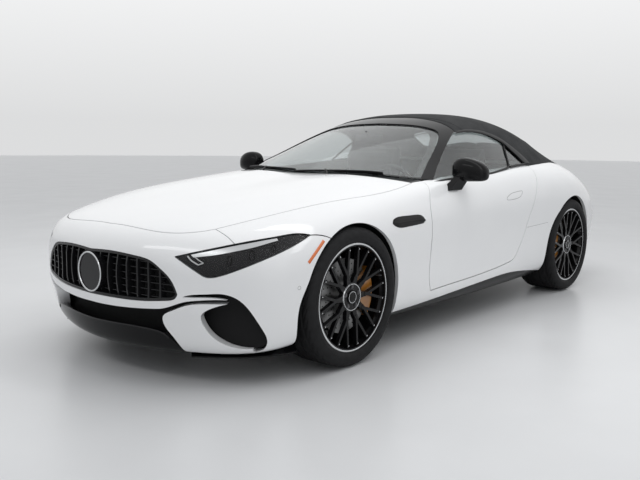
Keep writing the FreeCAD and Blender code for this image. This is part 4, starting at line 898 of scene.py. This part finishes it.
def lamp_housing():
    """The lamps' dark housing; its front lies deeper, so that the lamps' parts stand behind the lens."""
    housing = smooth_node("headlamps").data
    places = vertex_places(housing)
    _, normals, distance = body_skin.nearest(places)
    places -= normals * np.where(distance < HOUSING_FRONT, HOUSING_STEP, 0.0)[:, None]
    housing.vertices.foreach_set("co", places.astype(np.float32).ravel())


lamp_housing()


# Trim that is laid on the skins; its places are in millimetres, for the car's left

LINE_STEP = 0.01


def smooth_line(points, count=None):
    """Even points on a smooth curve through points given in millimetres; it answers in metres."""
    points = np.array(points, float) / 1000
    padded = np.vstack([2 * points[0] - points[1], points, 2 * points[-1] - points[-2]])
    line = []
    for index in range(len(points) - 1):
        a, b, c, d = padded[index:index + 4]
        for t in np.arange(0, 1, 0.05):
            line.append(0.5 * (2 * b + (c - a) * t + (2 * a - 5 * b + 4 * c - d) * t ** 2
                               + (3 * b - a - 3 * c + d) * t ** 3))
    line = np.array(line + [points[-1]])
    steps = np.linalg.norm(np.diff(line, axis=0), axis=1)
    along = np.concatenate([[0.0], np.cumsum(steps)])
    wanted = np.linspace(0, along[-1], count or max(8, int(steps.sum() / LINE_STEP)))
    return np.stack([np.interp(wanted, along, line[:, axis]) for axis in range(3)], axis=1)


def strip(edit, points, skin, width, top, bottom=-0.001, looped=False):
    """A narrow band laid along a line, between two heights over the skin, with rounded edges."""
    feet, normals, _ = skin.nearest(smooth_line(points))
    if looped:
        feet, normals = feet[:-1], normals[:-1]
        ahead = np.roll(feet, -1, axis=0) - np.roll(feet, 1, axis=0)
    else:
        ahead = np.gradient(feet, axis=0)
    across = np.cross(ahead, normals)
    across /= np.linalg.norm(across, axis=1, keepdims=True)
    half = width / 2
    section = [(-half, bottom), (-half, top * 0.5), (-half * 0.7, top), (half * 0.7, top), (half, top * 0.5),
               (half, bottom)]
    rows = [[edit.verts.new(foot + side * a + normal * h) for a, h in section]
            for foot, side, normal in zip(feet, across, normals)]
    join(edit, rows, looped)


def leaf(edit, upper, lower, skin, height, crown=0.0, sink=0.0015, steps=40, across=8):
    """A thin patch between two lines on a skin, higher in the middle by the crown."""
    first, second = smooth_line(upper, steps), smooth_line(lower, steps)
    share = np.linspace(0, 1, across + 1)
    grid = first[:, None, :] * (1 - share[None, :, None]) + second[:, None, :] * share[None, :, None]
    feet, normals, _ = skin.nearest(grid.reshape(-1, 3))
    feet, normals = feet.reshape(grid.shape), normals.reshape(grid.shape)
    rise = height + crown * 4 * share * (1 - share)
    outer = feet + normals * rise[None, :, None]
    inner = feet - normals * sink
    rows = []
    for row in range(steps):
        top = [edit.verts.new(point) for point in outer[row]]
        rows.append(top + [edit.verts.new(point) for point in inner[row][::-1]])
    join(edit, rows)
    bmesh.ops.remove_doubles(edit, verts=edit.verts, dist=WELD)


def single(name, draw, look, body="shell", side=1):
    """A piece as it is drawn, or with side -1 its mirror image."""
    edit = bmesh.new()
    draw(edit)
    for vertex in edit.verts:
        vertex.co.x *= side
    bmesh.ops.recalc_face_normals(edit, faces=edit.faces)
    return made(name, edit, look, body, 40.0)


def twins(name, draw, look, bodies=("shell", "shell")):
    """A piece on the car's left and its mirror image on the right."""
    for side, body, ending in zip(SIDES, bodies, ("_left", "_right")):
        single(name + ending, draw, look, body, side)


def over_both(points):
    """A line given from the middle outwards, carried over to the other side."""
    return [(-x, y, z) for x, y, z in reversed(points) if x] + list(points)


DOORS = ("left_door", "right_door")
ROOF_EDGE = [(573, 128, 1219), (580, 216, 1231), (594, 305, 1232), (618, 424, 1220), (648, 536, 1192),
             (681, 622, 1151), (724, 697, 1097), (763, 757, 1045), (799, 791, 996)]
PANE_EDGE = [(584, 99, 1206), (595, 174, 1214), (606, 248, 1217), (623, 335, 1211), (642, 422, 1196),
             (670, 515, 1166), (693, 579, 1138), (722, 614, 1102), (764, 666, 1048), (800, 712, 998)]
twins("side_window_seal", lambda edit: leaf(edit, ROOF_EDGE, PANE_EDGE, canopy_skin, 0.003, 0.002), "seal")
DIVIDER = [(694, 580, 1134), (757, 512, 1058), (812, 453, 985)]
twins("window_divider", lambda edit: strip(edit, DIVIDER, canopy_skin, 0.011, -0.004, -0.016), "seal")
WAIST = [(822, -520, 918), (822, -400, 923), (828, -200, 935), (834, 0, 942), (838, 150, 948),
         (826, 330, 966), (812, 440, 978)]
REAR_WAIST = [(811, 462, 981), (806, 560, 988), (800, 660, 992), (797, 760, 995)]
twins("waist_seal", lambda edit: strip(edit, WAIST, canopy_skin, 0.014, 0.002, -0.008), "seal", bodies=DOORS)
twins("rear_waist_seal", lambda edit: strip(edit, REAR_WAIST, canopy_skin, 0.012, 0.002, -0.008), "seal")

GLASS_EDGE = [(0, 22, 1279), (255, 20, 1270), (400, 20, 1248), (456, 14, 1222), (502, -6, 1203),
              (532, -46, 1178), (557, -90, 1158), (617, -228, 1088), (673, -388, 1012), (717, -500, 958),
              (764, -612, 908)]
FRIT_EDGE = [(0, -16, 1266), (250, -18, 1258), (385, -20, 1238), (430, -28, 1216), (466, -48, 1195),
             (496, -84, 1170), (520, -124, 1146), (582, -258, 1080), (640, -410, 1010), (684, -520, 958),
             (728, -628, 908)]
single("windscreen_frit", lambda edit: leaf(edit, over_both(GLASS_EDGE), over_both(FRIT_EDGE), glass_inner,
                                            -0.001, 0.0, 0.0025, 120, 3), "seal")


def wipers(edit):
    for blade in ([(-60, -815, 962), (250, -770, 975), (560, -690, 958)],
                  [(-640, -640, 950), (-360, -745, 975), (-70, -790, 970)]):
        strip(edit, blade, glass_outer, 0.009, 0.013, 0.001)
    for arm in ([(250, -870, 945), (235, -830, 955), (180, -780, 970)],
                [(-330, -865, 945), (-340, -820, 955), (-380, -745, 972)]):
        strip(edit, arm, glass_outer, 0.012, 0.020, 0.009)


single("wipers", wipers, "seal")

HANDLE = [(911, 242, 784), (909, 299, 806), (911, 385, 816), (913, 459, 816), (917, 425, 781),
          (916, 345, 768), (914, 247, 767), (911, 242, 784)]
# A grey line round the door handle: painted shade of the gap round it.
twins("handle_gap_shade", lambda edit: strip(edit, HANDLE, body_skin, 0.0028, 0.0006, looped=True), "shut_line",
      bodies=DOORS)
QUARTER_LINE = [(918, 545, 557), (930, 700, 563), (938, 850, 570)]
# A grey line on the rear quarter: painted shade of a line in the panel.
twins("quarter_line_shade", lambda edit: strip(edit, QUARTER_LINE, body_skin, 0.002, 0.0004), "shut_line")

VENT_UPPER = [(932, -1100, 718), (927, -1088, 738), (920, -1036, 749), (918, -930, 749), (916, -833, 746),
              (918, -790, 733), (921, -768, 710)]
VENT_LOWER = [(932, -1100, 718), (932, -1079, 703), (931, -1024, 689), (927, -915, 690), (923, -807, 694),
              (922, -785, 698), (921, -768, 710)]
twins("fender_vent", lambda edit: leaf(edit, VENT_UPPER, VENT_LOWER, body_skin, 0.0012, 0.0045),
      "gloss_black")


def vent_ribs(edit):
    for height in (706, 719, 732):
        strip(edit, [(928, -1060, height), (922, -930, height + 2), (919, -815, height + 1)], body_skin,
              0.003, 0.0072, 0.003)


twins("fender_vent_ribs", vent_ribs, "grille_metal")
MARKER = [(925, -1768, 586), (925, -1722, 628), (925, -1660, 681)]
twins("side_marker", lambda edit: strip(edit, MARKER, body_skin, 0.016, 0.0016), "amber")


def oval(place, width, height, count):
    """A closed line about a place on the car's side, its last point on its first."""
    x, y, z = place
    return [(x, y + width * math.cos(turn), z + height * math.sin(turn))
            for turn in np.linspace(0, math.tau, count + 1)]


SENSOR = oval((921, -1826, 474), 9, 9, 14)
# A grey ring round the parking sensor: painted shade of the gap round it.
twins("parking_sensor_gap_shade", lambda edit: strip(edit, SENSOR, body_skin, 0.0018, 0.0005, looped=True), "shut_line")
SPLITTER_EDGE = [(0, -2343, 270), (146, -2335, 273), (290, -2310, 275), (400, -2278, 270), (452, -2258, 258),
                 (478, -2240, 236)]
single("splitter_trim", lambda edit: strip(edit, over_both(SPLITTER_EDGE), body_skin, 0.007, 0.003),
       "grille_metal")
CHIN_EDGE = [(545, -2166, 139), (650, -2088, 139), (745, -2002, 139), (815, -1905, 141), (868, -1786, 145)]


def chin_lip(edit):
    """A thin plate under the bumper's corner that grows out of its lower edge."""
    rows = []
    for point in smooth_line(CHIN_EDGE, 40):
        root = point + [-0.055, 0.045, 0.0]
        rows.append([edit.verts.new(corner) for corner in (point, point + [0, 0, 0.006],
                                                           root + [0, 0, 0.034], root)])
    join(edit, rows)


twins("chin_lip", chin_lip, "gloss_black")

# Lamp parts lie between these depths, behind the lens
LAMP_DEPTHS = (-0.0046, -0.0075)
LAMP_UPPER = [(600, -2208, 640), (681, -2138, 662), (768, -2018, 687), (830, -1884, 704)]
LAMP_LOWER = [(612, -2200, 626), (700, -2126, 640), (785, -2010, 664), (836, -1884, 692)]
twins("lamp_brow", lambda edit: leaf(edit, LAMP_UPPER, LAMP_LOWER, body_skin, -0.0048, 0.0, 0.003), "silver")
DAY_LIGHT = [(586, -2216, 634), (607, -2214, 616), (640, -2200, 596)]
DAY_LIGHT_BACK = [(612, -2200, 634), (632, -2192, 618), (657, -2182, 604)]


def day_light(edit):
    ends = [DAY_LIGHT[-1], DAY_LIGHT_BACK[-1]]
    for line, width in ((DAY_LIGHT, 0.006), (DAY_LIGHT_BACK, 0.004), (ends, 0.005)):
        strip(edit, line, body_skin, width, *LAMP_DEPTHS)


twins("day_light", day_light, "silver")


def lamp_modules(edit):
    for place, radius in (((735, -2095, 610), 24), ((790, -2010, 628), 24), ((838, -1915, 658), 16)):
        strip(edit, oval(place, radius * 0.6, radius, 16), body_skin, 0.004, *LAMP_DEPTHS, looped=True)


twins("lamp_modules", lamp_modules, "grille_metal")

BADGE_RADIUS = 0.101
BADGE_FRONT = -2.3535
BADGE_HEIGHT = 0.506
BADGE_BAND = 0.0045


def badge_ring(edit):
    """A plain ring round the grille's disc."""
    rows = []
    for turn in (math.tau * step / 96 for step in range(96)):
        section = []
        for lean in (math.tau * part / 8 for part in range(8)):
            reach = BADGE_RADIUS - BADGE_BAND + BADGE_BAND * math.cos(lean)
            section.append(edit.verts.new((reach * math.cos(turn), BADGE_FRONT + 0.003 * math.sin(lean),
                                           BADGE_HEIGHT + reach * math.sin(turn))))
        rows.append(section)
    join(edit, rows, looped=True)


single("badge_ring", badge_ring, "machined")


# The soft top's cloth

CLOTH_LIFT = 0.0022
CLOTH_WALL = 0.0016


def roof_cloth():
    """The outer faces of the roof as one thin sheet that lies over it."""
    edit = bmesh.new()
    edit.from_mesh(roof.data)
    layer = edit.faces.layers.int["skin"]
    bmesh.ops.delete(edit, geom=[face for face in edit.faces if not face[layer]], context="FACES")
    edit.verts.index_update()
    places = np.array([vertex.co for vertex in edit.verts], float)
    feet, normals, _ = canopy_skin.nearest(places)
    for vertex, foot, normal in zip(edit.verts, feet, normals):
        vertex.co = Vector(foot + normal * CLOTH_LIFT)
    piece = added("soft_top_cloth", new_mesh("soft_top_cloth", edit), "roof_fabric", "shell")
    wall = piece.modifiers.new("wall", "SOLIDIFY")
    wall.thickness = CLOTH_WALL
    wall.offset = -1
    return piece


cloth = roof_cloth()
CROSS_SEAM = [(0, 210, 1333), (200, 212, 1328), (400, 208, 1302), (454, 206, 1288), (520, 200, 1260),
              (572, 196, 1228)]
REAR_SEAM = [(0, 1180, 1236), (230, 1178, 1232), (420, 1168, 1214), (560, 1150, 1165), (640, 1120, 1110)]
seams = [single(name, lambda edit: strip(edit, over_both(points), canopy_skin, 0.012, 0.0045, 0.001),
                "roof_fabric")
         for name, points in (("cross_seam", CROSS_SEAM), ("rear_seam", REAR_SEAM))]


# Cabin

SEAT_SHRINK = 0.007
SEAT_VOXEL = 0.009
SEAT_PRESSURE = 4
SEAT_FRAMES = 20
SEAT_SWELL = 0.009


def seat_pads():
    """Foam seats: the CAD form, filled out under its cover."""
    edit = welded("seats")
    bmesh.ops.recalc_face_normals(edit, faces=edit.faces)
    edit.normal_update()
    for vertex in edit.verts:
        vertex.co -= vertex.normal * SEAT_SHRINK
    piece = stand_in("seats_padded", new_mesh("seats_padded", edit), "seats")
    swell(piece)


def swell(piece):
    """Even out the mesh and blow its cover up like cloth, each point by no more than the swell."""
    bpy.context.view_layer.objects.active = piece
    remesh = piece.modifiers.new("even", "REMESH")
    remesh.mode = "VOXEL"
    remesh.voxel_size = SEAT_VOXEL
    bpy.ops.object.modifier_apply(modifier="even")
    start = vertex_places(piece.data)
    cover = piece.modifiers.new("cover", "CLOTH")
    cover.settings.use_pressure = True
    cover.settings.uniform_pressure_force = SEAT_PRESSURE
    cover.settings.effector_weights.gravity = 0
    for number in range(1, SEAT_FRAMES + 1):
        bpy.context.scene.frame_set(number)
    shaped = piece.evaluated_get(bpy.context.evaluated_depsgraph_get()).to_mesh()
    moved = vertex_places(shaped) - start
    length = np.maximum(np.linalg.norm(moved, axis=1, keepdims=True), 1e-9)
    ended = start + moved * np.minimum(1.0, SEAT_SWELL / length)
    piece.modifiers.clear()
    bpy.context.scene.frame_set(1)
    piece.data.vertices.foreach_set("co", ended.astype(np.float32).ravel())
    piece.data.update()
    for polygon in piece.data.polygons:
        polygon.use_smooth = True


seat_pads()

CABIN_MIRROR_TILT = Matrix.Rotation(math.radians(-8), 4, "X")


def block(edit, middle, size, edge):
    """A box with rounded edges, tilted as the cabin mirror is."""
    matrix = Matrix.Translation(middle) @ CABIN_MIRROR_TILT @ Matrix.Diagonal((*size, 1))
    corners = bmesh.ops.create_cube(edit, size=1, matrix=matrix)["verts"]
    edges = {joined for corner in corners for joined in corner.link_edges}
    bmesh.ops.bevel(edit, geom=list(edges), offset=edge, segments=3, profile=0.5, affect="EDGES")


def cabin_mirror(edit):
    block(edit, (0, -0.10, 1.155), (0.235, 0.022, 0.068), 0.009)
    rod_between(edit, (0, -0.105, 1.18), (0, -0.135, 1.212), 0.008)


single("cabin_mirror", cabin_mirror, "seal")
single("cabin_mirror_glass", lambda edit: block(edit, (0, -0.0885, 1.155), (0.222, 0.002, 0.056), 0.0008),
       "mirror_glass")
